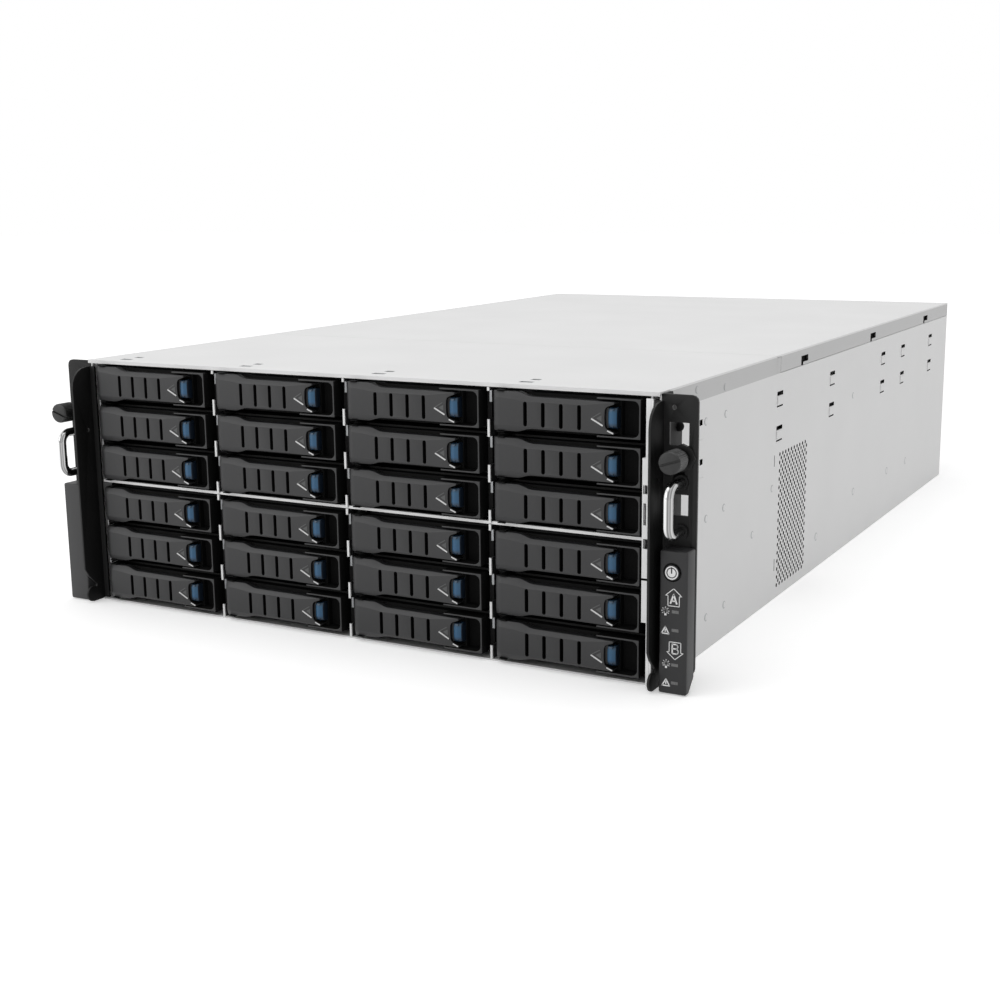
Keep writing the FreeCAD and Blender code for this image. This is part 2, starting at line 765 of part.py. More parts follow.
# Controller canister housing with its fan frames
def make_canister(low):
    left = canister_left
    right = canister_right
    thin = canister_sheet
    front = panel_back - panel_sheet
    pieces = [box(left, right, canister_front, front, low, low + thin)]
    pieces.append(box(left, left + thin, canister_front, front, low, low + canister_tall - 2))
    pieces.append(box(right - thin, right, canister_front, front, low, low + canister_tall - 2))
    pieces.append(box(left, right, front, panel_back, low, low + canister_tall))
    for x in (left + rail_inset, right - rail_inset):
        pieces.append(box(x - rail_half, x + rail_half, canister_front + rail_inset, front - rail_inset,
                          low + thin, low + board_lift))
    lug_x = left + eject_inset
    lug_z = low + canister_tall / 2
    for side in (-1, 1):
        z0 = lug_z + side * (eject_tall / 2 + moving_gap)
        pieces.append(box(lug_x - eject_barrel, lug_x + eject_barrel, panel_back, eject_y + eject_barrel,
                          z0, z0 + side * lug_sheet))
    pin_reach = eject_tall / 2 + moving_gap + lug_sheet / 2
    pin = Part.makeCylinder(eject_pin, 2 * pin_reach, FreeCAD.Vector(lug_x, eject_y, lug_z - pin_reach))
    cuts = []
    for x, z, wide, tall in port_cuts:
        cuts.append(box(left + x, left + x + wide, front - 1, panel_back + 1, low + z, low + z + tall))
    housing = join(pieces + [pin]).cut(group(cuts))
    frames = []
    for side in (-1, 1):
        x = canister_middle + side * fan_offset
        z = low + thin + fan_size / 2
        start = canister_front + 2
        side_half = fan_size / 2
        frame = box(x - side_half, x + side_half, start, start + fan_deep, z - side_half, z + side_half)
        frame = frame.cut(rod_y(x, z, fan_bore, start - 1, start + fan_deep + 1, middle_flat_count))
        back = start + fan_deep
        strut = box(x - fan_bore - 0.5, x + fan_bore + 0.5, back - strut_deep, back,
                    z - fan_hub / 2, z + fan_hub / 2)
        frames.append(join([frame, strut]))
    return group([housing] + frames)


# Controller board with heat sinks, memory sticks and port blocks
def make_canister_board(low):
    left = canister_left
    base = low + board_lift
    top = base + pcb_sheet
    front = canister_front + board_start
    back = panel_back - panel_sheet - 3
    solids = [box(left + board_edge, canister_right - board_edge, front, back, base, top)]
    third = (canister_right - left) / 3
    for x in (left + third, left + 2 * third):
        edge = x - sink_size / 2
        start = front + sink_size
        sink = box(edge, edge + sink_size, start, start + sink_size, top, top + sink_tall)
        fins = [box(edge + 10 + 20 * n, edge + 20 + 20 * n, start - 1, start + sink_size + 1,
                    top + sink_tall / 5, top + sink_tall + 1) for n in range(3)]
        solids.append(sink.cut(group(fins)))
        for side in (-1, 1):
            for n in range(2):
                stick = x + side * (sink_size / 2 + stick_gap + n * stick_pitch)
                solids.append(box(stick, stick + side * stick_sheet, front + rail_inset,
                                  front + rail_inset + stick_long, top, top + stick_tall))
    for x, z, wide, tall in port_cuts[:port_count]:
        solids.append(box(left + x + slide_gap, left + x + wide - slide_gap, back - port_deep, back,
                          top, low + z + tall - slide_gap))
    return group(solids)


# Fan rotor: hub with set blades
def make_rotor(low, side):
    x = canister_middle + side * fan_offset
    z = low + canister_sheet + fan_size / 2
    start = canister_front + 2 * strut_deep
    end = canister_front + 2 + fan_deep - strut_deep - slide_gap
    nose = Part.makeCylinder(fan_nose, strut_deep, FreeCAD.Vector(x, start - strut_deep, z),
                             FreeCAD.Vector(0, 1, 0))
    pieces = [rod_y(x, z, fan_hub, start, end, middle_flat_count), nose]
    for n in range(blade_count):
        blade = box(x - 1, x + 1, start + 2, end - 2, z + fan_hub - 2, z + fan_tip)
        blade.rotate(FreeCAD.Vector(x, (start + end) / 2, z), FreeCAD.Vector(0, 0, 1), 38)
        blade.rotate(FreeCAD.Vector(x, 0, z), FreeCAD.Vector(0, 1, 0), 360 * n / blade_count)
        pieces.append(blade)
    return join(pieces)


# Ejector lever on the back of a canister: a flat bar with a barrel at its pin
def make_ejector(low):
    x = canister_left + eject_inset
    z = low + canister_tall / 2
    end = eject_tall / 2
    tip = x + eject_long
    outline = [(x, z - end)]
    outline += arc_points(tip - end, z, end, -90, 90, 6)
    outline += [(x, z + end)]
    bar = prism_xz(outline, eject_y - eject_thick / 2, eject_y + eject_thick / 2)
    barrel = rod_z(x, eject_y, eject_barrel, z - end, z + end, middle_flat_count)
    hole = rod_z(x, eject_y, eject_pin + eject_room, z - end - 1, z + end + 1, small_flat_count)
    return join([bar, barrel]).cut(hole)


# Power supply: case with a fan mouth, a mains inlet and a pull handle
def make_supply(low):
    left = bay_wall_x + sheet + slide_gap
    right = lip_inner - slide_gap
    high = low + canister_tall
    case = box(left, right, supply_front, panel_back, low, high)
    mouth_x = right - supply_fan - 6
    mouth_z = high - supply_fan - 6
    inlet = (left + 5, left + 32, low + 6, low + 26)
    thin = canister_sheet
    cuts = [box(left + thin, right - thin, supply_front - 1, panel_back - panel_sheet,
                low + thin, high - thin),
            box(inlet[0], inlet[1], panel_back - 18, panel_back + 1, inlet[2], inlet[3]),
            rod_y(mouth_x, mouth_z, supply_fan, panel_back - 6, panel_back + 1, large_flat_count)]
    case = case.cut(group(cuts))
    hub = rod_y(mouth_x, mouth_z, supply_fan * 0.4, panel_back - 20, panel_back - 1, middle_flat_count)
    long = supply_fan + 2
    spokes = [box(mouth_x - long, mouth_x + long, panel_back - 6, panel_back - panel_sheet,
                  mouth_z - 1.5, mouth_z + 1.5),
              box(mouth_x - 1.5, mouth_x + 1.5, panel_back - 6, panel_back - panel_sheet,
                  mouth_z - long, mouth_z + long)]
    guard = join([hub] + spokes)
    board = box(left + thin + 4, right - thin - 4, supply_front - 8, panel_back - 40, low + thin + 4,
                low + thin + 4 + pcb_sheet)
    rails = [box(x - rail_half, x + rail_half, supply_front + rail_inset, panel_back - 2 * rail_inset,
                 low + thin, low + thin + 4) for x in (left + rail_inset / 2, right - rail_inset / 2)]
    socket = box(inlet[0], inlet[1], panel_back - 18, panel_back + 1, inlet[2], inlet[3])
    room = box(inlet[0] + 2, inlet[1] - 2, panel_back - 15, panel_back + 2, inlet[2] + 2, inlet[3] - 2)
    socket = socket.cut(room)
    reach = panel_back + supply_handle_reach
    x0 = left + 6
    x1 = left + 14
    grip = [(panel_back, low + 34), (reach - 5, low + 34), (reach, low + 39), (reach, high - 14),
            (reach - 5, high - 9), (panel_back, high - 9)]
    gap = [(panel_back - 1, low + 39), (reach - 7, low + 39), (reach - 5, low + 41), (reach - 5, high - 16),
           (reach - 7, high - 14), (panel_back - 1, high - 14)]
    handle = prism_yz(grip, x0, x1).cut(prism_yz(gap, x0 - 1, x1 + 1))
    return group([case, guard, socket, handle, board] + rails)


shapes["chassis_base"] = make_base()
shapes["front_top_cover"] = make_front_cover()
shapes["rear_lid"] = make_rear_lid()
shapes["cage_shelf"] = make_shelf()
shapes["cage_dividers"] = make_dividers()
shapes["cage_side_walls"] = make_cage_walls()
shapes["drive_backplane"] = make_backplane()
shapes["rear_bay_frame"] = make_bay_frame()

shapes["rack_ear_right"] = make_ear()
shapes["rack_ear_left"] = mirrored(shapes["rack_ear_right"])
shapes["thumbscrew_right"] = make_thumbscrew()
shapes["thumbscrew_left"] = mirrored(shapes["thumbscrew_right"])
handle = make_handle()
shapes["front_handles"] = group([handle, mirrored(handle)])
shapes["ear_box_left"] = mirrored(ear_box())
shapes["control_panel"] = make_control_panel()
shapes["power_button"] = make_button()

drive = carrier_drive()
latch = carrier_latch()
for bay in range(2 * rows_per_group * columns):
    x, z = bay_centre(bay)
    name = "%02d" % (bay + 1)
    swings = bay < columns
    lever = carrier_lever(swings)
    pieces = [carrier_bezel(swings), carrier_tray(swings), drive]
    if swings:
        shapes["carrier_lever_" + name] = moved(lever, x, 0, z)
        shapes["carrier_latch_" + name] = moved(latch, x, 0, z)
    else:
        pieces += [lever, latch]
    shapes["drive_carrier_" + name] = group([moved(piece, x, 0, z) for piece in pieces])

for letter, low in canister_low.items():
    shapes["canister_" + letter] = make_canister(low)
    shapes["canister_" + letter + "_board"] = make_canister_board(low)
    shapes["canister_" + letter + "_lever"] = make_ejector(low)
    shapes["canister_" + letter + "_rotor_1"] = make_rotor(low, -1)
    shapes["canister_" + letter + "_rotor_2"] = make_rotor(low, 1)
shapes["power_supply_upper"] = make_supply(canister_low["a"])
shapes["power_supply_lower"] = make_supply(canister_low["b"])

# The origin is the middle of the footprint, at the lowest point
front_most = min(knob_front, handle_reach - handle_rod)
rear_most = max(body_depth, panel_back + supply_handle_reach)
origin = FreeCAD.Vector(0, -(front_most + rear_most) / 2, 0)
for name, shape in shapes.items():
    placed = shape.copy()
    placed.translate(origin)
    placed.exportStep("parts/" + name + ".step")
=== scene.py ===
import math

import bmesh
import bpy
from mathutils import Matrix, Vector


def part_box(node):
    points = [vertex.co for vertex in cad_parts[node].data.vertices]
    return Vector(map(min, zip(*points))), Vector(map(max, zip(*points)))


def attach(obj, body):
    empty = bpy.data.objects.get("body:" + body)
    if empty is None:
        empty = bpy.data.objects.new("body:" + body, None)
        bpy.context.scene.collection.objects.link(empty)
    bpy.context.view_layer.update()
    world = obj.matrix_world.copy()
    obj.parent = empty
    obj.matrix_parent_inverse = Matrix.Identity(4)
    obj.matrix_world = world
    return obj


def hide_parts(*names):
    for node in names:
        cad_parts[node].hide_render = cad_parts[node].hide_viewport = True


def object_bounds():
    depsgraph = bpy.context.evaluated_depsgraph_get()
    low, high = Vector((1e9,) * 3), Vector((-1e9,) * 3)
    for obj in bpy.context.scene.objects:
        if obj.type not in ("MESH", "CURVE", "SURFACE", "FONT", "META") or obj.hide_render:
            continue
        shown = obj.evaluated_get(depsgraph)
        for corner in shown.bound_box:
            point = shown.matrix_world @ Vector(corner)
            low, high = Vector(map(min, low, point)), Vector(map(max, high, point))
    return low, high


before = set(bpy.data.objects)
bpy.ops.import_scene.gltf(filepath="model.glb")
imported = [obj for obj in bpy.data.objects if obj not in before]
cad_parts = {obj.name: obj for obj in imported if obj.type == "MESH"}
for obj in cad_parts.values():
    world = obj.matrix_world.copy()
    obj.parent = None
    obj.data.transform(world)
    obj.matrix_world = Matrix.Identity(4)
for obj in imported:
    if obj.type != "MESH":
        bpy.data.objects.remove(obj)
cad_low, cad_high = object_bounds()

# Sizes are in mm. X and Z are the part's own, and Y is zero at the front edge of the top cover
MM = 0.001
front_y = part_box("front_top_cover")[0].y

# How far a cutter or a joined form reaches past a face, and the tolerance when faces are picked by place
past = 1.0
near = 0.1

# Gaps that a copy of a CAD node closes, and that a cut along a plane ignores
weld_gap = 0.002
cut_gap = 0.0001

# Camera, worked out from the photograph
camera_place = (538.697, -770.670, 286.616)
camera_heading = 28.849
camera_pitch = 78.274
camera_roll = -0.650
camera_lens = 52.741
camera_sensor = 36.0
camera_clip = 10.0

# Light: strength of the world, and place, target, size in m and power in W of each lamp
world_strength = 0.51
top_light = ((-200, 100, 2600), (0, 300, 100), 3.0, 31)
front_light = ((-1700, -1900, 1200), (0, 0, 90), 1.4, 13)

# Floor: its size, and how far it is lifted to white near the object and far from it
floor_half = 9000
floor_deep = 20
floor_near = 0.35
floor_far = 0.62
floor_start = 1000
floor_end = 2600

# Materials: detail and tones of the drift in colour, spread of the roughness, and the fine grain
drift_detail = 4.0
drift_tones = (0.3, 0.7)
rough_spread = 0.12
grain_scale = 2500.0
grain_deep = 0.1

# Least lean of a face's normal that counts as facing one way, and the most that counts as square to it
latch_lean = 0.6
rim_lean = 0.5
guard_lean = 0.8
wall_lean = 0.5
flat_lean = 0.9
square_lean = 0.1

# Bays
columns = 4
half_rows = 3
bay_count = columns * 2 * half_rows
column_pitch = 106.8
row_pitch = 28.3
upper_rows_middle = 131.6
lower_rows_middle = 44.6

# Drive carrier front, from the middle of its bay. Values named half or tall reach both ways
bezel_half = 48.5
bezel_tall = 11.7
bezel_back = 8.0
plate_front = 2.5
rim_front = -3.5
rim_start = 20.7
rim_inner = 47.4
rim_low = 10.6
rim_round = 3.6
pocket_start = 34.2
pocket_floor = 6.8
heel_end = -37.1
heel_room = 5.4

# Carrier lever: where its sections stand, and the height of its edge and of its two facet lines
lever_front = -5.0
lever_back = 2.2
lever_left = -48.5
lever_right = 32.4
pivot_x = -43.3
pivot_y = -1.4
lever_stations = (-36.0, -33.0, -20.0, 0.0, 12.0, 22.0, 27.0, 31.0, lever_right)
waist_start = -32.5
waist_steps = 13
heel_reach = 5.15
heel_step = 0.65
heel_steps = 9
least_swell = 0.02
lever_edge = ((lever_left, 12.0), (-32.0, 12.0), (-29.5, 11.5), (-24.5, 10.0), (-21.5, 9.6),
              (lever_right, 9.4))
upper_line = ((lever_left, 8.6), (-36.0, 7.9), (-26.0, 6.7), (12.0, 6.7), (31.0, 9.2), (lever_right, 9.3))
lower_line = ((lever_left, 8.3), (-20.0, 8.2), (10.0, 8.3), (27.0, 9.3), (lever_right, 9.3))
facet_slope = 0.5
facet_gap = 0.1
hollow_sides = (-38.0, 23.0)
hollow_levels = (-8.0, 6.4)
hollow_wall = 2.4
slot_places = (-25.6, -13.7, -1.8, 10.1)
slot_half = 1.25
slot_round = slot_half * 0.95
slot_low = -8.2
slot_high = 6.6
slot_deep = 3.0
latch_mouth = ((26.3, 0), (26.5, 4.2), (27.1, 5.8), (28.2, 6.7), (32.4, 8.3), (34.0, 8.8))
ledge_front = -3.1
ledge_end = 28.4
ledge_half = 5.9

# Chevron on the lever, with strokes as (start, end, width): the white strokes are a painted highlight on its
# lower edges, the grey stroke a dim painted highlight on its upper edge, and the grey triangle a mark inside
# it
highlight_strokes = (((17.9, -0.8), (25.3, -4.6), 0.9), ((28.2, -7.4), (32.0, -8.85), 0.8))
dim_highlight_stroke = ((18.1, -0.5), (24.0, 3.0), 0.6)
grey_triangle = ((21.2, -0.4), (24.6, 1.5), (24.6, -2.2))
mark_proud = 0.12
mark_deep = 0.3

# Latch: how far its ends pull in and fall back, its left shoulder, and its right edge as (inset, depth)
latch_left = 28.2
latch_right = 33.8
latch_half = 6.3
latch_front = -4.6
latch_back = 2.0
latch_steps = 24
latch_square = 5
latch_pull = 1.6
latch_fall = 2.2
latch_gap = 0.3
latch_hook = 1.8
latch_edge = ((0.0, 2.0), (0.4, 1.4), (1.7, 0.55))
crown_drop = 0.12
least_drop = 0.15
shoulder = 3.2
shoulder_steps = 6

# Tray and drive, and the black bar in front of the drive, a dark block that puts painted shade in the gaps
# between rows
tray_half = 51.4
tray_sheet = 0.6
tray_end = 172.0
tray_tall = 12.9
tray_ear_half = 2.6
tray_ear_front = -4.0
drive_half = 50.8
drive_front = 20.0
drive_back = 167.0
drive_tall = 12.6
cap_inset = 3.0
cap_end_inset = 22.0
cap_round = 6.0
cap_thick = 0.4
bar_end = 28.0
bar_tall = 12.75

# Cage sheets: rows of bright edges, measured from each row boundary
tab_above = 7.8
tab_below = 3.0
step_below = 10.1
step_front = 3.2
edge_half = 0.75
edge_proud = 0.1
edge_least = 0.5
cage_bottom = 1.2
cage_top = 173.3
shelf_height = 88.0
shelf_sheet = 1.0

# Bright outer edge of the right cage flange, and a black patch in the flange that is painted shade for a
# notch
flange_front = -9.0
flange_outer = 218.7
flange_edge = 1.4
flange_low = 2.8
flange_high = cage_top - 0.1
notch_inner = flange_outer - 6.4
notch_outer = flange_outer - 1.8
notch_low = 66.8
notch_high = 68.1
notch_proud = 0.05
notch_deep = 0.5

# Body, and the plate that closes the gap at the front of the lid
half = 219.0
sheet = 1.2
seam_height = 163.2
lid_start = 211.0
lid_gap = 8.0
lid_clear = 0.3
fill_drop = 1.5

# Rack ears and what stands on them. Turned profiles are (radius, place) or (inset, depth) pairs
ear_front = 2.9
ear_back = 4.9
ear_half = 241.3
ear_hole = (226.8, 167.5)
guard_hole = (-4.4, 125.8)
guard_outer = 220.5
small_hole = 1.5
bracket_screw = (25.0, 153.0)
bracket_dome = ((2.9, -0.1), (2.9, 1.2), (2.4, 2.4), (1.4, 3.1), (0.5, 3.3))
screw_x = 232.55
screw_z = 138.9
knob_front = -18.8
knob_back = -6.0
knob_radius = 6.6
knob_face = ((1.1, 0.0), (0.4, 0.3), (0.0, 1.1))
knob_heel = ((0.0, 0.7), (0.6, 0.0))
knurl = 0.2
screw_shank = ((5.0, knob_back), (5.0, -1.4), (2.9, -1.4), (2.9, 5.4), (2.5, 5.6), (2.5, 17.0))
driver_turn = 18.0
driver_reach = 9.0
driver_wide = 1.5
driver_deep = 1.5
handle_x = 232.0
handle_low = 95.5
handle_high = 124.5
handle_reach = -17.5
handle_bend = 7.0
handle_rod = 3.0
collar_front = 1.2
collar_radius = 4.4
collar_bore = 3.1
box_inner = 224.0
box_front = -9.9
box_low = 0.6
box_high = 86.5
box_heel = 8.0
box_round = 1.2

# Power button with its printed sign, and status windows
button_x = 231.8
button_z = 73.8
button_radius = 4.6
button_room = 0.5
button_well = 3.0
button_proud = 0.7
button_edge = ((4.3, 0.0), (4.5, 0.1), (4.6, 0.4))
button_flange = ((4.6, -8.0), (5.8, -8.0), (5.8, -6.8))
sign_ring = (3.2, 4.0)
sign_disc = 2.55
sign_proud = 0.04
sign_deep = 0.1
sign_bar_half = 0.4
sign_bar_high = 3.4
sign_bar_proud = 0.08
lens_x = 234.1
lens_rows = (50.6, 39.5, 18.6, 7.6)
lens_half_wide = 2.1
lens_half_tall = 0.9
lens_proud = 0.03

# Signs printed on the control panel: lines as (width, closed, points), lamp and fault signs as (X, Z, Z)
print_proud = 0.05
print_deep = 0.2
panel_lines = (
    (0.45, True, ((233.0, 64.4), (228.0, 60.1), (229.5, 60.1), (229.5, 54.0), (236.5, 54.0), (236.5, 60.1),
                  (238.0, 60.1))),
    (1.0, False, ((231.0, 55.3), (233.0, 60.9), (235.0, 55.3))),
    (0.8, False, ((231.8, 57.0), (234.2, 57.0))),
    (0.45, True, ((230.6, 32.4), (237.8, 32.4), (237.8, 26.3), (239.3, 26.3), (234.2, 22.0), (229.1, 26.3),
                  (230.6, 26.3))),
    (0.8, False, ((232.5, 25.5), (232.5, 31.2), (235.2, 31.2), (235.9, 30.5), (235.9, 29.3), (235.2, 28.5),
                  (232.5, 28.5))),
    (0.8, False, ((235.2, 28.5), (236.2, 27.6), (236.2, 26.4), (235.4, 25.5), (232.5, 25.5))))
status_signs = ((228.0, 50.4, 38.9), (228.8, 18.7, 7.3))
bulb_lift = 0.3
bulb_radius = 1.3
bulb_wide = 0.75
bulb_foot = (-1.2, -2.5)
bulb_foot_wide = 1.3
ray_angles = (-35, 0, 45, 90, 135, 180, 215)
ray_start = 1.9
ray_length = 0.55
ray_wide = 0.5
fault_corners = ((-2.3, -1.8), (2.3, -1.8), (0.0, 2.3))
fault_wide = 0.75
fault_bar = (0.8, -0.9)
fault_bar_wide = 0.7

# Side walls: air holes, lanced bridges, rivets, dimples and slots as (Y, Z)
wall_deep = 2.0
vent_start = 222.0
vent_low = 9.0
vent_column = 3.3
vent_pitch = 6.0
vent_columns = 20
vent_rows = 17
vent_radius = 1.6
bridge_places = (219.0, 347.5, 501.5, 571.5, 679.0)
bridge_rows = (139.5, 115.1)
bridge_wide = 13.0
bridge_tall = 11.0
bridge_slot = 3.2
bridge_gap = 1.1
bridge_inset = 0.2
bridge_arch = ((-0.3, 0.9), (0.5, 1.6), (0.6, 6.8), (0.1, 7.8), (-0.3, 8.0))
rivets = ((109.5, 149.0), (58.0, 170.5), (107.0, 166.5), (74.0, 149.0), (109.0, 88.0), (77.0, 87.0),
          (166.0, 58.0), (206.0, 83.0), (113.0, 22.0), (80.0, 22.0), (409.0, 124.0))
dimples = ((420.0, 42.0), (317.0, 25.0), (599.0, 39.0), (530.0, 41.0))
rivet_radius, rivet_tall = 2.6, 0.5
dimple_radius, dimple_tall = 3.2, 0.3
mark_sink = 0.2
rim_proud = 0.08
rim_share = 0.5
dome_share = 0.78
dome_top_share = 0.3
slits = ((210.0, 98.0, 106.0), (215.5, 21.0, 30.0))
slit_half = 0.5
front_slots = ((65.8, 149.4), (66.9, 124.7))
front_slot_half_wide = 2.4
front_slot_half_tall = 1.8

# Curved ridges pressed into the side walls below the front slots
ridge_places = ((59.0, 138.6), (59.8, 114.4))
ridge_steps = 6
ridge_run = 1.9
ridge_length = 1.95
ridge_curve = 0.048
ridge_section = ((-0.3, 0.0), (0.35, 0.2), (-0.3, 0.5))

# Lances in the top cover as (width, start), and the slope of their tongues as (run, Z)
lance_offset = 20.0
lance_sizes = ((9.0, 9.5), (6.0, 22.5))
lance_run = 5.0
lance_low = 174.0
lance_high = 177.0
tongue = ((1.0, 174.0), (5.0, 175.4), (5.0, 174.9), (1.0, 173.4))

# Back: its panel, the mains inlet as (X, X, Z, Z) with its pins, and the guard of the supply's fan
panel_back = 748.5
canister_lows = (89.0, 1.6)
supply_inlet = (125.4, 152.4, 6.0, 26.0)
pin_places = ((0, 2.6), (-6, -2.6), (6, -2.6))
pin_half_wide = 1.0
pin_half_tall = 2.0
pin_start = 15.0
pin_end = 2.0
mouth_inset = 36.0
mouth_radius = 30.0
mouth_edge = 1.4
wire_rings = (15.0, 20.5, 26.0)
wire = 0.9
guard_sink = 0.2
guard_edge = 0.3
guard_proud = 0.4

# Places that tell the materials of one CAD node apart, with heights from the canister's floor
lid_skin = 174.8
lid_under = 174.0
lid_end = 745.0
shelf_edge = 4.0
wall_edge = 3.3
backplane_face = 177.9
fan_frame = (303.9, 329.1)
fan_frame_sides = (-171, 74)
fan_frame_levels = (1.01, 82.0)
heat_sinks = (415, 490)
port_start = 724
board_top = 7.7
supply_trim = 748.6
supply_fan = (728, 748.4)
supply_fan_sides = (126, 215)
supply_board = (4.9, 6.7)
supply_board_end = 709


def at(x, y, z):
    return Vector((x * MM, y * MM + front_y, z * MM))


def bay_centre(bay):
    row, column = divmod(bay, columns)
    x = (column - (columns - 1) / 2) * column_pitch
    middle = upper_rows_middle if row < half_rows else lower_rows_middle
    return x, middle + ((half_rows - 1) / 2 - row % half_rows) * row_pitch


def span(middle, reach):
    return middle - reach, middle + reach


def along(x, stops):
    for (x0, v0), (x1, v1) in zip(stops, stops[1:]):
        if x <= x1:
            return v0 + (v1 - v0) * max(x - x0, 0) / (x1 - x0)
    return stops[-1][1]


# Mesh helpers. A form is a pair of lists: corners in mm and faces

def prism(outline, axis, low, high):
    count = len(outline)
    corners = []
    for place in (low, high):
        for a, b in outline:
            corners.append({"x": (place, a, b), "y": (a, place, b), "z": (a, b, place)}[axis])
    faces = [list(range(count)), list(range(count, 2 * count))]
    faces += [[n, (n + 1) % count, count + (n + 1) % count, count + n] for n in range(count)]
    return corners, faces


def block(x0, x1, y0, y1, z0, z1):
    return prism([(x0, y0), (x1, y0), (x1, y1), (x0, y1)], "z", z0, z1)


def rings(sections, closed=False):
    count = len(sections[0])
    corners = [corner for section in sections for corner in section]
    faces = []
    for s in range(len(sections) if closed else len(sections) - 1):
        a, b = s * count, (s + 1) % len(sections) * count
        faces += [[a + n, a + (n + 1) % count, b + (n + 1) % count, b + n] for n in range(count)]
    if not closed:
        last = (len(sections) - 1) * count
        faces += [list(range(count)), list(range(last, last + count))]
    return corners, faces


def arc(cx, cy, radius, start, end, count):
    turns = [math.radians(start + (end - start) * n / count) for n in range(count + 1)]
    return [(cx + radius * math.cos(t), cy + radius * math.sin(t)) for t in turns]


def circle(cx, cy, radius, count):
    return arc(cx, cy, radius, 0, 360, count)[:-1]


def rounded(x0, x1, y0, y1, radius, count=6):
    points = arc(x1 - radius, y1 - radius, radius, 0, 90, count)
    points += arc(x0 + radius, y1 - radius, radius, 90, 180, count)
    points += arc(x0 + radius, y0 + radius, radius, 180, 270, count)
    return points + arc(x1 - radius, y0 + radius, radius, 270, 360, count)


def turned(profile, axis, centre, count, closed=False, ridged=0.0):
    """Turned form from (radius, place) pairs, with fine ridges where it has the ridged radius."""
    sections = []
    for radius, place in profile:
        section = []
        for n in range(count):
            angle = 2 * math.pi * n / count
            reach = radius + (knurl if n % 2 and radius == ridged else 0.0)
            a, b = centre[0] + reach * math.cos(angle), centre[1] + reach * math.sin(angle)
            section.append({"x": (place, a, b), "y": (a, place, b)}[axis])
        sections.append(section)
    return rings(sections, closed)


def ring_form(inner, outer, centre, y0, y1, count=64):
    profile = [(inner, y0), (outer, y0), (outer, y1), (inner, y1)]
    return turned(profile, "y", centre, count, closed=True)


def stroke(start, end, wide, y0, y1):
    run = Vector((end[0] - start[0], end[1] - start[1])).normalized() * wide / 2
    side = Vector((-run.y, run.x))
    corners = [(start[0] + side.x, start[1] + side.y), (start[0] - side.x, start[1] - side.y),
               (end[0] - side.x, end[1] - side.y), (end[0] + side.x, end[1] + side.y)]
    return prism(corners, "y", y0, y1)


def make_mesh(name, groups):
    """Mesh from a list of (forms, material) pairs."""
    whole = bmesh.new()
    mesh = bpy.data.meshes.new(name)
    for number, (forms, material) in enumerate(groups):
        mesh.materials.append(material)
        for corners, faces in forms:
            points = [whole.verts.new((x * MM, y * MM, z * MM)) for x, y, z in corners]
            for face in faces:
                made = whole.faces.new([points[n] for n in face])
                made.material_index = number
    bmesh.ops.recalc_face_normals(whole, faces=whole.faces)
    whole.to_mesh(mesh)
    whole.free()
    return mesh


def solid(name, material, *forms):
    """Mesh of one material."""
    return make_mesh(name, [(forms, material)])


def cad_copy(node, material):
    """Copy of a CAD node with its corners welded."""
    whole = bmesh.new()
    whole.from_mesh(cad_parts[node].data)
    whole.transform(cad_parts[node].matrix_world)
    bmesh.ops.remove_doubles(whole, verts=whole.verts, dist=weld_gap * MM)
    for corner in whole.verts:
        corner.co.y -= front_y
    mesh = bpy.data.meshes.new(node + "_copy")
    mesh.materials.append(material)
    bmesh.ops.recalc_face_normals(whole, faces=whole.faces)
    for face in whole.faces:
        face.material_index = 0
    whole.to_mesh(mesh)
    whole.free()
    return mesh


def placed(name, data):
    """New object in the scene."""
    made = bpy.data.objects.new(name, data)
    bpy.context.scene.collection.objects.link(made)
    return made


def worked(mesh, cuts=(), joins=(), bevel=0.0, segments=2, angle=35):
    """Mesh after joining and cutting other meshes, with its sharp edges bevelled."""
    holder = placed("holder", mesh)
    helpers = [holder]
    for operation, others in (("UNION", joins), ("DIFFERENCE", cuts)):
        for other in others:
            helpers.append(placed("tool", other))
            step = holder.modifiers.new("step", "BOOLEAN")
            step.operation = operation
            step.solver = "EXACT"
            step.material_mode = "TRANSFER"
            step.object = helpers[-1]
    if bevel:
        edge = holder.modifiers.new("edge", "BEVEL")
        edge.width = bevel * MM
        edge.segments = segments
        edge.limit_method = "ANGLE"
        edge.angle_limit = math.radians(angle)
        edge.use_clamp_overlap = True
    bpy.context.view_layer.update()
    made = bpy.data.meshes.new_from_object(holder.evaluated_get(bpy.context.evaluated_depsgraph_get()))
    for helper in helpers:
        bpy.data.objects.remove(helper)
    return made


def soften(mesh, angle=30):
    for face in mesh.polygons:
        face.use_smooth = True
    mesh.set_sharp_from_angle(angle=math.radians(angle))
    return mesh


def merged(name, meshes):
    """One mesh from several, with each material kept."""
    whole = bmesh.new()
    made = bpy.data.meshes.new(name)
    for mesh in meshes:
        first = len(whole.faces)
        whole.from_mesh(mesh)
        whole.faces.ensure_lookup_table()
        for face in whole.faces[first:]:
            material = mesh.materials[face.material_index]
            if material.name not in made.materials:
                made.materials.append(material)
            face.material_index = made.materials.find(material.name)
    whole.to_mesh(made)
    whole.free()
    return made


def piece(name, mesh, body, place=(0, 0, 0), stands_for=()):
    shown = placed(name, mesh)
    shown.location = at(*place)
    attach(shown, body)
    if stands_for:
        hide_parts(*stands_for)


# Materials

def ranged(tree, value, low, high, new_low=0.0, new_high=1.0):
    """Socket of a value that is taken from one range to another."""
    made = tree.nodes.new("ShaderNodeMapRange")
    for name, limit in (("From Min", low), ("From Max", high), ("To Min", new_low), ("To Max", new_high)):
        made.inputs[name].default_value = limit
    tree.links.new(value, made.inputs["Value"])
    return made.outputs["Result"]


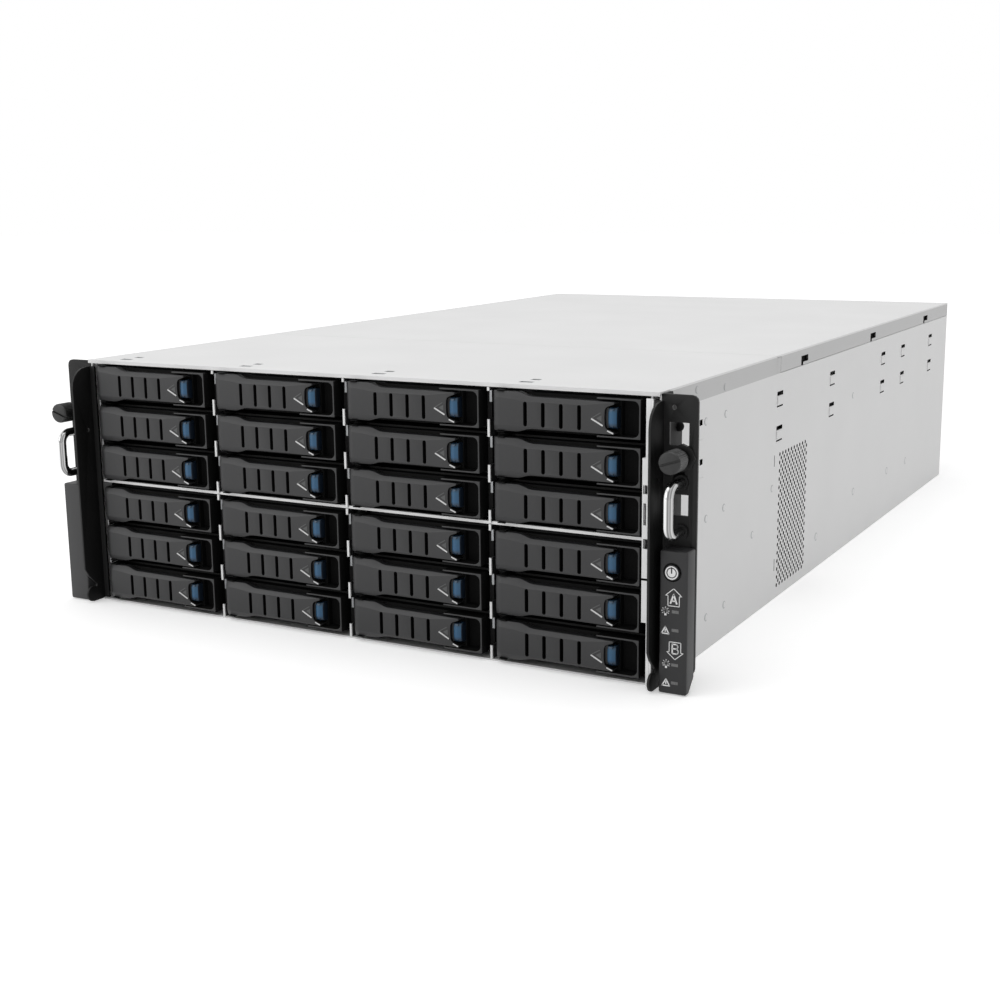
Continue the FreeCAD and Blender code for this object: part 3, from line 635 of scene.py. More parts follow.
def blend(tree, value, tones):
    """Colour a material by a value, through (place, colour) pairs in rising order."""
    ramp = tree.nodes.new("ShaderNodeValToRGB")
    while len(ramp.color_ramp.elements) < len(tones):
        ramp.color_ramp.elements.new(1.0)
    for stop, (place, colour) in zip(ramp.color_ramp.elements, tones):
        stop.position = place
        stop.color = (*colour, 1)
    tree.links.new(value, ramp.inputs["Fac"])
    tree.links.new(ramp.outputs["Color"], tree.nodes["Principled BSDF"].inputs["Base Color"])


def surface(name, colour, rough, metal=0.0, shine=0.5, drift=0.1, drift_size=30.0, grain=0.0):
    """Material whose colour and roughness drift a little over the surface, with a fine grain."""
    made = bpy.data.materials.new(name)
    made.use_nodes = True
    tree = made.node_tree
    nodes, links = tree.nodes, tree.links
    shader = nodes["Principled BSDF"]
    shader.inputs["Metallic"].default_value = metal
    shader.inputs["Specular IOR Level"].default_value = shine
    where = nodes.new("ShaderNodeTexCoord")
    cloud = nodes.new("ShaderNodeTexNoise")
    cloud.inputs["Scale"].default_value = drift_size
    cloud.inputs["Detail"].default_value = drift_detail
    links.new(where.outputs["Object"], cloud.inputs["Vector"])
    shares = zip(drift_tones, (1 - drift, 1 + drift))
    tones = [(place, [min(c * share, 1) for c in colour]) for place, share in shares]
    blend(tree, cloud.outputs["Fac"], tones)
    spread = ranged(tree, cloud.outputs["Fac"], 0.0, 1.0, rough * (1 - rough_spread),
                    min(rough * (1 + rough_spread), 1.0))
    links.new(spread, shader.inputs["Roughness"])
    if grain:
        fine = nodes.new("ShaderNodeTexNoise")
        fine.inputs["Scale"].default_value = grain_scale
        links.new(where.outputs["Object"], fine.inputs["Vector"])
        bump = nodes.new("ShaderNodeBump")
        bump.inputs["Strength"].default_value = grain
        bump.inputs["Distance"].default_value = grain_deep * MM
        links.new(fine.outputs["Fac"], bump.inputs["Height"])
        links.new(bump.outputs["Normal"], shader.inputs["Normal"])
    return made


def blend_along(material, kind, axis, reach, tones):
    """Colour a material by one axis of a coordinate, from -reach to reach."""
    tree = material.node_tree
    where = tree.nodes.new("ShaderNodeTexCoord")
    split = tree.nodes.new("ShaderNodeSeparateXYZ")
    tree.links.new(where.outputs[kind], split.inputs["Vector"])
    blend(tree, ranged(tree, split.outputs[axis], -reach, reach), tones)
    return material


def latch_blue_painted_shade():
    """Blue plastic with painted shade that darkens it towards the two ends of the latch, so it is lighter in
    its middle.
    """
    made = surface("latch_blue_painted_shade", (0.05, 0.14, 0.28), 0.35)
    return blend_along(made, "Object", "Z", latch_half * MM, (
        (0.0, (0.003, 0.009, 0.02)), (0.14, (0.010, 0.037, 0.075)), (0.3, (0.014, 0.087, 0.190)),
        (0.75, (0.016, 0.092, 0.185)), (0.93, (0.014, 0.043, 0.080)), (1.0, (0.007, 0.021, 0.040))))


def chrome_painted_reflections():
    """Chrome with painted reflections: dark and bright lines along the rod, set by which way its surface
    faces.
    """
    made = surface("chrome_painted_reflections", (0.6,) * 3, 0.14, metal=1.0)
    return blend_along(made, "Normal", "X", 1.0, (
        (0.0, (0.5,) * 3), (0.3, (0.8,) * 3), (0.48, (0.75,) * 3), (0.56, (0.3,) * 3), (0.66, (0.16,) * 3),
        (0.74, (0.45,) * 3), (0.86, (0.2,) * 3), (0.93, (0.6,) * 3), (1.0, (0.35,) * 3)))


steel = surface("zinc_sheet", (0.72,) * 3, 0.5, metal=0.3, drift=0.025, drift_size=12, grain=0.1)
strip_steel = surface("zinc_strip", (0.52,) * 3, 0.5, metal=0.3, drift=0.03, drift_size=12, grain=0.1)
cage_steel = surface("cage_sheet", (0.82,) * 3, 0.45, metal=0.2, drift=0.05, drift_size=60)
shade_steel = surface("cage_sheet_painted_shade", (0.05, 0.05, 0.052), 0.5, metal=0.4, drift_size=60)
# Grey metal of the drives and ports, also used as painted shade on the cage's step edges, the rims round
# rivets and dimples, and the walls of the cover's lances
drive_metal_and_painted_shade = surface("drive_metal_and_painted_shade", (0.42, 0.43, 0.44), 0.4, metal=0.7, drift=0.08, drift_size=60)
fin_metal = surface("fin_metal", (0.55, 0.56, 0.57), 0.35, metal=0.9, drift=0.06, drift_size=90)
pin_metal = surface("pin_metal", (0.75, 0.68, 0.50), 0.3, metal=1.0, drift=0.05)
ear_paint = surface("ear_paint", (0.005,) * 3, 0.5, shine=0.3, drift_size=40, grain=0.3)
screw_black = surface("screw_black", (0.011,) * 3, 0.45, drift=0.3, drift_size=400, grain=0.3)
chrome = chrome_painted_reflections()
shade_paint = surface("ear_paint_painted_shade", (0.003,) * 3, 0.6, shine=0.15, drift_size=40)
panel_plastic = surface("panel_plastic", (0.019, 0.019, 0.020), 0.5, shine=0.4, drift=0.08, grain=0.25)
box_plastic = surface("ear_box_plastic", (0.032, 0.032, 0.033), 0.5, drift=0.08, grain=0.25)
# Dark copy of the carrier's black plastic, as painted shade on the bezel plate, the rim's top and sides, the
# walls of its recesses, the tray ears and the bar in front of the drive
black_plastic_painted_shade = surface("carrier_plastic_painted_shade", (0.003,) * 3, 0.7, shine=0.12, drift_size=80)
lever_plastic = surface("lever_plastic", (0.019, 0.019, 0.020), 0.45, drift=0.08, drift_size=60, grain=0.2)
rim_plastic = surface("rim_plastic", (0.022, 0.022, 0.023), 0.45, drift=0.08, drift_size=60)
dark_plastic = surface("dark_plastic", (0.010,) * 3, 0.5)
tray_paint = surface("tray_paint", (0.006,) * 3, 0.6, shine=0.25)
white_ink = surface("white_ink", (0.86,) * 3, 0.5, drift=0.03)
chevron_highlight_paint = surface("chevron_highlight_paint", (0.68,) * 3, 0.5, drift=0.03)
grey_mark_and_dim_highlight = surface("grey_mark_and_dim_highlight", (0.075, 0.077, 0.077), 0.5, drift=0.05)
lens_grey = surface("lens_grey", (0.14,) * 3, 0.3, drift=0.25, drift_size=900)
board_green = surface("board_green", (0.012, 0.07, 0.028), 0.45, drift=0.2, drift_size=120)
# Black: the bracket screws' own colour, and painted shade on the walls of holes, slots and wells, on the
# flange notch and on faces inside the body and the lid
black_and_painted_shade = surface("black_and_painted_shade", (0.003,) * 3, 0.8, shine=0.1)
navy_painted_shade = surface("navy_painted_shade", (0.004, 0.009, 0.018), 0.5, shine=0.3)
blue = latch_blue_painted_shade()


# Drive carriers

def lever_sections():
    marks = {pivot_x - heel_reach + heel_step * n for n in range(heel_steps)}
    marks |= {waist_start + n for n in range(waist_steps)} | set(lever_stations)
    sections = []
    for x in sorted(marks):
        swell = math.sqrt(max(1 - (max(pivot_x - x, 0) / (pivot_x - lever_left)) ** 2, least_swell))
        front = pivot_y + (lever_front - pivot_y) * swell
        back = pivot_y + (lever_back - pivot_y) * swell
        edge = along(x, lever_edge)
        high, low = along(x, upper_line), along(x, lower_line)
        top = min(front + facet_slope * (edge - high) * swell, back - facet_gap)
        bottom = min(front + facet_slope * (edge - low) * swell, back - facet_gap)
        sections.append([(x, back, -edge), (x, bottom, -edge), (x, front, -low), (x, front, high),
                         (x, top, edge), (x, back, edge)])
    return sections


def lever_cuts():
    """Hollow back, latch mouth and finger slots of the lever. Their walls take black as painted shade."""
    hollow = block(*hollow_sides, lever_front + hollow_wall, lever_back + past, *hollow_levels)
    mouth = list(latch_mouth) + [(x, -z) for x, z in reversed(latch_mouth[1:])]
    notch = prism(mouth, "y", lever_front - past, lever_back + past)
    slots = []
    for x in slot_places:
        outline = rounded(*span(x, slot_half), slot_low, slot_high, slot_round)
        slots.append(prism(outline, "y", lever_front - past, lever_front + slot_deep))
    return [solid("lever_hollow", black_and_painted_shade, hollow), solid("lever_notch", black_and_painted_shade, notch),
            solid("lever_slots", black_and_painted_shade, *slots)]


def make_lever():
    body = solid("lever_body", lever_plastic, rings(lever_sections()))
    body = worked(body, cuts=lever_cuts(), bevel=0.3, angle=20)
    ledge = solid("lever_ledge", lever_plastic, block(latch_mouth[0][0] - past, ledge_end, ledge_front,
                                                      lever_back, -ledge_half, ledge_half))
    front, back = lever_front - mark_proud, lever_front + mark_deep
    # White strokes are a painted highlight and the grey stroke a dim painted highlight on the chevron's
    # edges
    marks = make_mesh("lever_marks", [
        ([stroke(*line, front, back) for line in highlight_strokes], chevron_highlight_paint),
        ([stroke(*dim_highlight_stroke, front, back), prism(grey_triangle, "y", front, back)], grey_mark_and_dim_highlight)])
    return soften(merged("carrier_lever_mesh", (body, ledge, marks)), angle=25)


def make_latch():
    sections = []
    for n in range(latch_steps + 1):
        turn = 2 * n / latch_steps - 1
        z = latch_half * math.sin(turn * math.pi / 2)
        ease = max(1 - abs(z / latch_half) ** latch_square, 0.0) ** 0.5
        left = latch_left + latch_pull * (1 - ease)
        front = latch_front + latch_fall * (1 - ease)
        crown = front + crown_drop
        under = max(ledge_front - latch_gap, crown + least_drop)
        section = [(latch_right, latch_back, z)]
        section += [(latch_right - inset, front + deep, z) for inset, deep in latch_edge]
        for step in range(shoulder_steps + 1):
            a = math.radians(90 + 90 * step / shoulder_steps)
            section.append((left + shoulder + shoulder * math.cos(a),
                            crown + (under - crown) * (1 - math.sin(a)), z))
        section += [(left + latch_hook, under, z), (left + latch_hook, latch_back, z)]
        sections.append(section)
    mesh = make_mesh("carrier_latch_mesh", [([rings(sections)], blue), ([], navy_painted_shade)])
    # Faces turned to the right take dark navy as painted shade on that side
    for face in mesh.polygons:
        if face.normal.x > latch_lean:
            face.material_index = 1
    return soften(mesh, angle=40)


def make_bezel():
    """Carrier front with its rim, the hollow and finger pocket inside the rim, and the room for the heel."""
    plate = solid("plate", black_plastic_painted_shade, block(-bezel_half, bezel_half, plate_front, bezel_back,
                                                -bezel_tall, bezel_tall))
    rim = solid("rim", rim_plastic, block(rim_start, bezel_half, rim_front, plate_front + past,
                                          -bezel_tall, bezel_tall))
    corner = arc(rim_inner - rim_round, rim_low - rim_round, rim_round, 90, 0, count=8)
    corner += arc(rim_inner - rim_round, rim_round - rim_low, rim_round, 0, -90, count=8)
    hollow, pocket = [[(start, rim_low)] + corner + [(start, -rim_low)]
                      for start in (rim_start - past, pocket_start)]
    forms = (prism(hollow, "y", rim_front - past, plate_front),
             prism(pocket, "y", rim_front - 2 * past, pocket_floor),
             block(-bezel_half - past, heel_end, plate_front - past, heel_room,
                   -bezel_tall - past, bezel_tall + past))
    cuts = [solid("cut", black_plastic_painted_shade, form) for form in forms]
    front = worked(plate, cuts=cuts, joins=(rim,), bevel=0.35, segments=3, angle=40)
    # Faces not turned to the front take the darker plastic, as painted shade; front faces keep the rim
    # plastic
    for face in front.polygons:
        if face.normal.y > -rim_lean:
            face.material_index = 0
    return front


def make_tray():
    """Tray with its two ears, its drive and the black bar in front of the drive, which is painted shade in
    the gaps between rows.
    """
    inner, back = tray_half - tray_sheet, bezel_back + tray_sheet
    strip = [(-tray_half, tray_end), (-tray_half, bezel_back), (tray_half, bezel_back),
             (tray_half, tray_end), (inner, tray_end), (inner, back), (-inner, back), (-inner, tray_end)]
    cap = rounded(-drive_half + cap_inset, drive_half - cap_inset, drive_front + cap_inset,
                  drive_back - cap_end_inset, cap_round)
    ears = [block(*span(pivot_x, tray_ear_half), tray_ear_front, back, z, z + tray_sheet)
            for z in (-tray_tall, tray_tall - tray_sheet)]
    bar = block(-drive_half, drive_half, back, bar_end, -bar_tall, bar_tall)
    drive_high = drive_tall - cap_thick
    body = make_mesh("carrier_body", [
        (ears + [bar], black_plastic_painted_shade), ([prism(strip, "z", -tray_tall, tray_tall)], tray_paint),
        ([block(-drive_half, drive_half, drive_front, drive_back, -drive_tall, drive_high),
          prism(cap, "z", drive_high, drive_tall)], drive_metal_and_painted_shade)])
    return worked(body, bevel=0.2)


def add_carriers():
    carrier = soften(merged("carrier_front_mesh", (make_bezel(), make_tray())))
    lever, latch = make_lever(), make_latch()
    for bay in range(bay_count):
        x, z = bay_centre(bay)
        number = "%02d" % (bay + 1)
        node = "drive_carrier_" + number
        swings = bay < columns
        lever_node = "carrier_lever_" + number if swings else node
        latch_node = "carrier_latch_" + number if swings else node
        piece("carrier_front_" + number, carrier, node, (x, 0, z), [node])
        piece("lever_" + number, lever, lever_node, (x, 0, z), [lever_node])
        piece("latch_" + number, latch, latch_node, (x, 0, z), [latch_node])


# Cage: bright sheet edges at the front, in front of inner faces coated with painted shade; the set-back step
# edges are grey, also painted shade

def row_boundaries(middle):
    return [middle + (half_rows / 2 - row) * row_pitch for row in range(half_rows + 1)]


def add_cage_edges():
    tabs, steps = [], []
    groups = ((upper_rows_middle, shelf_height + shelf_sheet, cage_top),
              (lower_rows_middle, cage_bottom, shelf_height))
    for column in range(1, columns):
        x = (column - columns / 2) * column_pitch
        for middle, low, high in groups:
            for boundary in row_boundaries(middle):
                lifts = (tab_above, -tab_below, -step_below)
                levels = [max(min(boundary + lift, high), low) for lift in lifts]
                for made, front, top, bottom in ((tabs, 0.0, levels[0], levels[1]),
                                                 (steps, step_front, levels[1], levels[2])):
                    if top - bottom > edge_least:
                        made.append(block(*span(x, edge_half), front - edge_proud, front + past,
                                          bottom, top))
    tabs.append(block(flange_outer - flange_edge, flange_outer, flange_front, flange_front + past,
                      flange_low, flange_high))
    # The notch is a thin black patch, painted shade
    notch = block(notch_inner, notch_outer, flange_front - notch_proud, flange_front + notch_deep,
                  notch_low, notch_high)
    # Step edges take the grey metal as painted shade
    edges = make_mesh("cage_sheet_edges", [(tabs, cage_steel), (steps, drive_metal_and_painted_shade), ([notch], black_and_painted_shade)])
    piece("cage_sheet_edges", edges, "chassis")


# Rack ears, thumbscrews, handles and boxes

def mirrored(mesh, side):
    if side < 0:
        mesh.transform(Matrix.Scale(-1, 4, (1, 0, 0)))
        mesh.flip_normals()
    return mesh


def make_ear(node, side):
    hole = prism(circle(side * ear_hole[0], ear_hole[1], small_hole, count=16), "y",
                 ear_front - past, ear_back + past)
    peep = prism(circle(*guard_hole, small_hole, count=16), "x",
                 side * (half - past), side * (guard_outer + past))
    cuts = [solid("cut", ear_paint, form) for form in (hole, peep)]
    mesh = worked(cad_copy(node, ear_paint), cuts=cuts, bevel=0.4, angle=40)
    # Both faces of each guard blade take the darker copy of the ear paint, as painted shade
    mesh.materials.append(shade_paint)
    for face in mesh.polygons:
        if abs(face.normal.x) > guard_lean and abs(face.center.x) < (guard_outer + near) * MM:
            face.material_index = len(mesh.materials) - 1
    return soften(mesh)


def make_thumbscrew(side):
    profile = [(knob_radius - inset, knob_front + deep) for inset, deep in knob_face]
    profile += [(knob_radius - inset, knob_back - deep) for inset, deep in knob_heel]
    form = turned(profile + list(screw_shank), "y", (screw_x, screw_z), count=72, ridged=knob_radius)
    knob = solid("knob", screw_black, form)
    turn = math.radians(driver_turn)
    dx, dz = driver_reach * math.cos(turn), driver_reach * math.sin(turn)
    slot = stroke((screw_x - dx, screw_z - dz), (screw_x + dx, screw_z + dz), driver_wide,
                  knob_front - past, knob_front + driver_deep)
    return soften(mirrored(worked(knob, cuts=[solid("cut", dark_plastic, slot)]), side))


def make_handle():
    low, high, front = handle_low + handle_bend, handle_high - handle_bend, handle_reach + handle_bend
    path = [(ear_front, handle_low), (0.0, handle_low)]
    path += arc(front, low, handle_bend, 270, 180, count=10)
    path += arc(front, high, handle_bend, 180, 90, count=10)
    path += [(0.0, handle_high), (ear_front, handle_high)]
    sections = []
    for number, (y, z) in enumerate(path):
        before, after = path[max(number - 1, 0)], path[min(number + 1, len(path) - 1)]
        run = Vector((after[0] - before[0], after[1] - before[1])).normalized()
        sections.append([(handle_x + a, y - b * run.y, z + b * run.x)
                         for a, b in circle(0, 0, handle_rod, count=24)])
    collars = [ring_form(collar_bore, collar_radius, (handle_x, z), collar_front, ear_front, count=28)
               for z in (handle_low, handle_high)]
    return make_mesh("handle", [([rings(sections)], chrome), (collars, ear_paint)])


def make_box(material):
    outline = [(ear_front, box_low + box_heel), (ear_front - box_heel, box_low), (box_front, box_low),
               (box_front, box_high), (ear_front, box_high)]
    return solid("ear_box", material, prism(outline, "x", box_inner, ear_half))


def lines(points, wide, closed=False):
    """Printed strokes through points, on the front of the control panel."""
    front, back = box_front - print_proud, box_front + print_deep
    ends = points[1:] + points[:1] if closed else points[1:]
    made = [stroke(a, b, wide, front, back) for a, b in zip(points, ends)]
    corners = points if closed else points[1:-1]
    return made + [prism(circle(x, z, wide / 2, count=8), "y", front, back) for x, z in corners]


def lamp_sign(x, z):
    middle = z + bulb_lift
    made = lines(arc(x, middle, bulb_radius, -60, 240, count=10), bulb_wide)
    made += lines([(x, z + dz) for dz in bulb_foot], bulb_foot_wide)
    for angle in ray_angles:
        way = Vector((math.cos(math.radians(angle)), math.sin(math.radians(angle))))
        start = Vector((x, middle)) + way * ray_start
        made += lines([tuple(start), tuple(start + way * ray_length)], ray_wide)
    return made


def fault_sign(x, z):
    made = lines([(x + dx, z + dz) for dx, dz in fault_corners], fault_wide, closed=True)
    return made + lines([(x, z + dz) for dz in fault_bar], fault_bar_wide)


def panel_signs():
    made = [form for wide, closed, points in panel_lines for form in lines(points, wide, closed)]
    for x, lamp, fault in status_signs:
        made += lamp_sign(x, lamp) + fault_sign(x, fault)
    return made


def make_control_panel():
    # The well round the button has black walls, as painted shade
    well = prism(circle(button_x, button_z, button_radius + button_room, count=40), "y",
                 box_front - past, box_front + button_well)
    shell = worked(make_box(panel_plastic), cuts=[solid("cut", black_and_painted_shade, well)], bevel=box_round,
                   segments=4, angle=30)
    lenses = [block(*span(lens_x, lens_half_wide), box_front - lens_proud, box_front + past,
                    *span(z, lens_half_tall)) for z in lens_rows]
    signs = make_mesh("signs", [(panel_signs(), white_ink), (lenses, lens_grey)])
    return merged("control_panel_mesh", (soften(shell), signs))


def make_button():
    front, centre = box_front - button_proud, (button_x, button_z)
    profile = [(radius, front + deep) for radius, deep in button_edge] + list(button_flange)
    cap = turned(profile, "y", centre, count=48)
    outer, inner = front - sign_proud, front + sign_deep
    ring = ring_form(*sign_ring, centre, outer, inner, count=48)
    disc = turned([(sign_disc, outer), (sign_disc, inner)], "y", centre, count=40)
    bar = block(*span(button_x, sign_bar_half), front - sign_bar_proud, inner,
                button_z - sign_bar_half, button_z + sign_bar_high)
    return soften(make_mesh("button", [([cap], panel_plastic), ([ring, disc], white_ink),
                                       ([bar], panel_plastic)]))


def make_bracket_screw(side):
    form = turned([(r, guard_outer + x) for r, x in bracket_dome], "x", bracket_screw, count=20)
    return soften(mirrored(solid("bracket_screw", black_and_painted_shade, form), side), angle=40)


def add_ears():
    for side, word in ((1, "right"), (-1, "left")):
        piece("bracket_screw_" + word, make_bracket_screw(side), "chassis")
        piece("ear_bracket_" + word, make_ear("rack_ear_" + word, side), "chassis",
              stands_for=["rack_ear_" + word])
        piece("ear_screw_" + word, make_thumbscrew(side), "thumbscrew_" + word,
              stands_for=["thumbscrew_" + word])
        piece("pull_handle_" + word, mirrored(soften(make_handle()), side), "chassis",
              stands_for=["front_handles"])
    box = soften(worked(make_box(box_plastic), bevel=box_round, segments=4, angle=30))
    for name, mesh, body, node in (("ear_cover_left", mirrored(box, -1), "chassis", "ear_box_left"),
                                   ("ear_panel_right", make_control_panel(), "chassis", "control_panel"),
                                   ("panel_button", make_button(), "power_button", "power_button")):
        piece(name, mesh, body, stands_for=[node])


# Body: side walls with air holes, lanced bridges and rivets, and lances in the top cover

def vent_places():
    for column in range(vent_columns):
        for row in range(vent_rows - column % 2):
            yield (vent_start + vent_column * column,
                   vent_low + vent_pitch * (row + 0.5 * (column % 2)))


def wall_cuts(side):
    low, high = sorted((side * (half - wall_deep), side * (half + past)))
    made = [prism(circle(y, z, vent_radius, count=6), "x", low, high) for y, z in vent_places()]
    for y in bridge_places:
        start, end = span(y, bridge_wide / 2)
        for z in bridge_rows:
            top = z + bridge_tall
            made.append(block(low, high, start, end, top - bridge_slot, top))
            made.append(block(low, high, start, end, z, z + bridge_gap))
    for y, z0, z1 in slits:
        made.append(block(low, high, *span(y, slit_half), z0, z1))
    for y, z in front_slots:
        made.append(block(low, high, *span(y, front_slot_half_wide), *span(z, front_slot_half_tall)))
    return made


def wall_marks(side):
    """Bridges, ridges, rivets and dimples that stand proud of a side wall, and the grey rims round them,
    which are painted shade at their edges.
    """
    def out(section, lift, y0, y1):
        return prism([(side * (half + x), lift + z) for x, z in section], "y", y0, y1)

    def dome(profile, centre):
        return turned([(r, side * (half + x)) for r, x in profile], "x", centre, count=20)

    made, rims = [], []
    for y in bridge_places:
        ends = span(y, bridge_wide / 2 - bridge_inset)
        made += [out(bridge_arch, z, *ends) for z in bridge_rows]
    for y, z in ridge_places:
        for step in range(ridge_steps):
            start, rise = y + ridge_run * step, ridge_curve * (step - ridge_steps + 1) ** 2
            made.append(out(ridge_section, z + rise, start, start + ridge_length))
    for radius, tall, places in ((rivet_radius, rivet_tall, rivets), (dimple_radius, dimple_tall, dimples)):
        rim = [(radius, -mark_sink), (radius, rim_proud), (radius * rim_share, rim_proud)]
        head = [(radius * dome_share, -mark_sink), (radius * dome_share, tall / 2),
                (radius * dome_top_share, tall)]
        rims += [dome(rim, place) for place in places]
        made += [dome(head, place) for place in places]
    return made, rims


def add_base():
    # Air holes, bridge slots, slits and front slots have black walls, as painted shade
    cuts = [solid("cut", black_and_painted_shade, *wall_cuts(side)) for side in (1, -1)]
    body = worked(cad_copy("chassis_base", steel), cuts=cuts)
    whole = bmesh.new()
    whole.from_mesh(body)
    bmesh.ops.bisect_plane(whole, geom=list(whole.verts) + list(whole.edges) + list(whole.faces),
                           dist=cut_gap * MM, plane_co=(0, 0, seam_height * MM), plane_no=(0, 0, 1))
    body.materials.append(strip_steel)
    strip, dark = len(body.materials) - 1, body.materials.find(black_and_painted_shade.name)
    for face in whole.faces:
        middle = face.calc_center_median() / MM
        # Faces above the seam behind the lid gap are black, as painted shade
        if middle.z > seam_height + near and middle.y > lid_start + lid_gap:
            face.material_index = dark
        elif middle.z > seam_height and abs(middle.x) > half - near:
            face.material_index = strip
    whole.to_mesh(body)
    whole.free()
    piece("base_shell", body, "chassis", stands_for=["chassis_base"])


def add_wall_marks():
    start, end, top = lid_start - lid_clear, lid_start + lid_gap - lid_clear, cad_high.z / MM - fill_drop
    fills = [block(side * (half - sheet), side * half, start, end, seam_height, top) for side in (1, -1)]
    right, left = wall_marks(1), wall_marks(-1)
    # The rims round rivets and dimples take the grey metal as painted shade
    marks = make_mesh("wall_marks", [(right[0] + left[0], steel), (fills, strip_steel),
                                     (right[1] + left[1], drive_metal_and_painted_shade)])
    for face in marks.polygons:
        if face.center.z > seam_height * MM and face.material_index == 0:
            face.material_index = 1
    piece("side_wall_marks", soften(marks, angle=40), "chassis")


def add_cover():
    """Front cover with a pair of lances over each column."""
    slots, tongues = [], []
    for column in range(columns):
        x = (column - columns / 2) * column_pitch + lance_offset
        for wide, start in lance_sizes:
            slots.append(block(*span(x, wide / 2), start, start + lance_run, lance_low, lance_high))
            slope = [(start + run, z) for run, z in tongue]
            tongues.append(prism(slope, "x", *span(x, wide / 2)))
    # The walls of the lance openings take the grey metal as painted shade
    cover = worked(cad_copy("front_top_cover", steel), cuts=[solid("cut", drive_metal_and_painted_shade, *slots)])
    mesh = merged("cage_cover_mesh", (cover, solid("tongues", steel, *tongues)))
    piece("cage_cover", mesh, "chassis", stands_for=["front_top_cover"])


# Back of the power supplies

def add_fan_guards():
    """Round edge and wire guard over the fan mouth of each power supply."""
    sunk, proud = panel_back - guard_sink, panel_back + guard_proud
    reach = mouth_radius * math.sqrt(0.5)
    for word in ("upper", "lower"):
        node = "power_supply_" + word
        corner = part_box(node)[1] / MM
        x, z = corner.x - mouth_inset, corner.z - mouth_inset
        edge = ring_form(*span(mouth_radius, mouth_edge), (x, z), sunk, panel_back + guard_edge)
        wires = [ring_form(*span(r, wire / 2), (x, z), proud, proud + wire) for r in wire_rings]
        for side in (1, -1):
            rise = side * reach
            wires.append(stroke((x - reach, z - rise), (x + reach, z + rise), wire, sunk, proud))
        mesh = make_mesh("fan_guard", [([edge], steel), (wires, fin_metal)])
        piece("fan_guard_" + word, soften(mesh), node)


def add_inlet_pins():
    x0, x1, z0, z1 = supply_inlet
    x, z = (x0 + x1) / 2, (z0 + z1) / 2
    for low, word in zip(canister_lows, ("upper", "lower")):
        pins = []
        for dx, dz in pin_places:
            pins.append(block(*span(x + dx, pin_half_wide), panel_back - pin_start, panel_back - pin_end,
                              *span(low + z + dz, pin_half_tall)))
        piece("inlet_pins_" + word, solid("inlet_pins", pin_metal, *pins), "power_supply_" + word)


# CAD nodes that show as they are

def coat(node, material, others=()):
    """Coat a CAD node, with other materials on the faces that their tests pick by place."""
    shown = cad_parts[node]
    data = shown.data
    data.materials.clear()
    data.materials.append(material)
    for number, (other, test) in enumerate(others, start=1):
        data.materials.append(other)
        for face in data.polygons:
            x, y, z = shown.matrix_world @ face.center
            if test(x / MM, (y - front_y) / MM, z / MM, face.normal):
                face.material_index = number


def within(value, ends, base=0):
    return base + ends[0] < value < base + ends[1]


def coat_nodes():
    coat("rear_bay_frame", steel)
    # The lid's faces below its top skin that do not face sideways are black, as painted shade
    coat("rear_lid", steel, [
        (strip_steel, lambda x, y, z, way: abs(way.x) > flat_lean and z < lid_skin),
        (black_and_painted_shade, lambda x, y, z, way: abs(way.x) < square_lean and z < lid_under and y < lid_end)])
    # Dividers, shelf and cage walls take the dark copy of the cage sheet as painted shade; front edges and
    # outward faces keep the bright sheet
    coat("cage_dividers", shade_steel)
    coat("cage_shelf", shade_steel, [(cage_steel, lambda x, y, z, way: y < shelf_edge)])
    coat("cage_side_walls", shade_steel, [
        (cage_steel, lambda x, y, z, way: y < wall_edge or way.x * x > wall_lean)])
    coat("drive_backplane", board_green, [(dark_plastic, lambda x, y, z, way: y < backplane_face)])
    for low, letter, word in zip(canister_lows, "ab", ("upper", "lower")):
        coat("canister_" + letter, steel, [
            (dark_plastic, lambda x, y, z, way: within(y, fan_frame) and within(z, fan_frame_levels, low)
             and within(x, fan_frame_sides))])
        coat("canister_%s_board" % letter, board_green, [
            (fin_metal, lambda x, y, z, way: within(y, heat_sinks) and z > low + board_top),
            (drive_metal_and_painted_shade, lambda x, y, z, way: y > port_start and z > low + board_top),
            (dark_plastic, lambda x, y, z, way: y > port_start and z > low + board_top
             and way.y > flat_lean)])
        coat("canister_%s_lever" % letter, box_plastic)
        for number in (1, 2):
            coat("canister_%s_rotor_%d" % (letter, number), dark_plastic)
        coat("power_supply_" + word, steel, [
            (dark_plastic, lambda x, y, z, way: y > supply_trim
             or (within(y, supply_fan) and within(x, supply_fan_sides))),
            (board_green, lambda x, y, z, way: within(z, supply_board, low) and y < supply_board_end)])


# Floor, light and camera

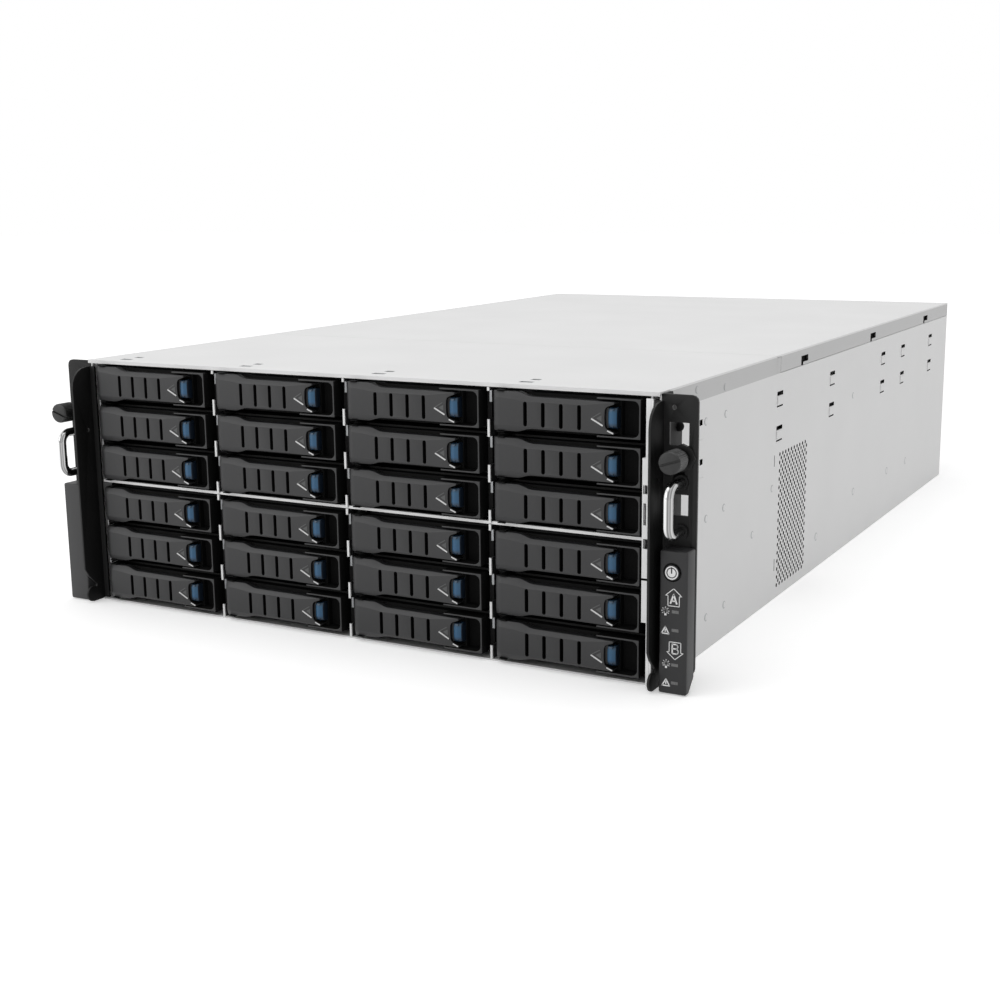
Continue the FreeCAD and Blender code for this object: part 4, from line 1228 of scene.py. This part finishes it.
def make_floor():
    """White floor. What the camera and reflections see of it is lifted to white, and it keeps its shadow."""
    white = surface("floor_white", (0.93,) * 3, 0.9, shine=0.0, drift=0.004)
    tree = white.node_tree
    nodes, links = tree.nodes, tree.links
    where = nodes.new("ShaderNodeTexCoord")
    away = nodes.new("ShaderNodeVectorMath")
    away.operation = "LENGTH"
    links.new(where.outputs["Object"], away.inputs[0])
    lift = ranged(tree, away.outputs["Value"], floor_start * MM, floor_end * MM, floor_near, floor_far)
    level = nodes.new("ShaderNodeMath")
    level.operation = "MULTIPLY"
    links.new(lift, level.inputs[0])
    links.new(background_rays(tree), level.inputs[1])
    shader = nodes["Principled BSDF"]
    shader.inputs["Emission Color"].default_value = (1, 1, 1, 1)
    links.new(level.outputs["Value"], shader.inputs["Emission Strength"])
    slab = block(-floor_half, floor_half, -floor_half, floor_half, -floor_deep, 0)
    placed("floor", solid("floor", white, slab))


def background_rays(tree):
    """Socket that is one for camera, glossy and transmission rays."""
    path = tree.nodes.new("ShaderNodeLightPath")
    seen = path.outputs["Is Camera Ray"]
    for kind in ("Is Glossy Ray", "Is Transmission Ray"):
        either = tree.nodes.new("ShaderNodeMath")
        either.operation = "MAXIMUM"
        tree.links.new(seen, either.inputs[0])
        tree.links.new(path.outputs[kind], either.inputs[1])
        seen = either.outputs["Value"]
    return seen


def make_world(strength):
    world = bpy.data.worlds.new("studio")
    bpy.context.scene.world = world
    world.use_nodes = True
    tree = world.node_tree
    tree.nodes.clear()
    level = ranged(tree, background_rays(tree), 0.0, 1.0, strength, 1.0)
    sky = tree.nodes.new("ShaderNodeBackground")
    sky.inputs["Color"].default_value = (1, 1, 1, 1)
    tree.links.new(level, sky.inputs["Strength"])
    out = tree.nodes.new("ShaderNodeOutputWorld")
    tree.links.new(sky.outputs["Background"], out.inputs["Surface"])


def make_lamp(name, place, target, size, power):
    data = bpy.data.lights.new(name, "AREA")
    data.size = size
    data.energy = power
    lamp = placed(name, data)
    lamp.location = at(*place)
    lamp.rotation_euler = (at(*target) - lamp.location).to_track_quat("-Z", "Y").to_euler()


def make_camera():
    data = bpy.data.cameras.new("camera")
    data.lens = camera_lens
    data.sensor_width = camera_sensor
    data.clip_start = camera_clip * MM
    camera = placed("camera", data)
    turn = (Matrix.Rotation(math.radians(camera_heading), 4, "Z")
            @ Matrix.Rotation(math.radians(camera_pitch), 4, "X")
            @ Matrix.Rotation(math.radians(camera_roll), 4, "Z"))
    camera.matrix_world = Matrix.Translation(at(*camera_place)) @ turn
    bpy.context.scene.camera = camera


coat_nodes()
add_carriers()
add_cage_edges()
add_ears()
add_base()
add_wall_marks()
add_cover()
add_fan_guards()
add_inlet_pins()
make_floor()
make_world(world_strength)
make_lamp("top_light", *top_light)
make_lamp("front_light", *front_light)
make_camera()
bpy.context.scene.view_settings.view_transform = "Standard"
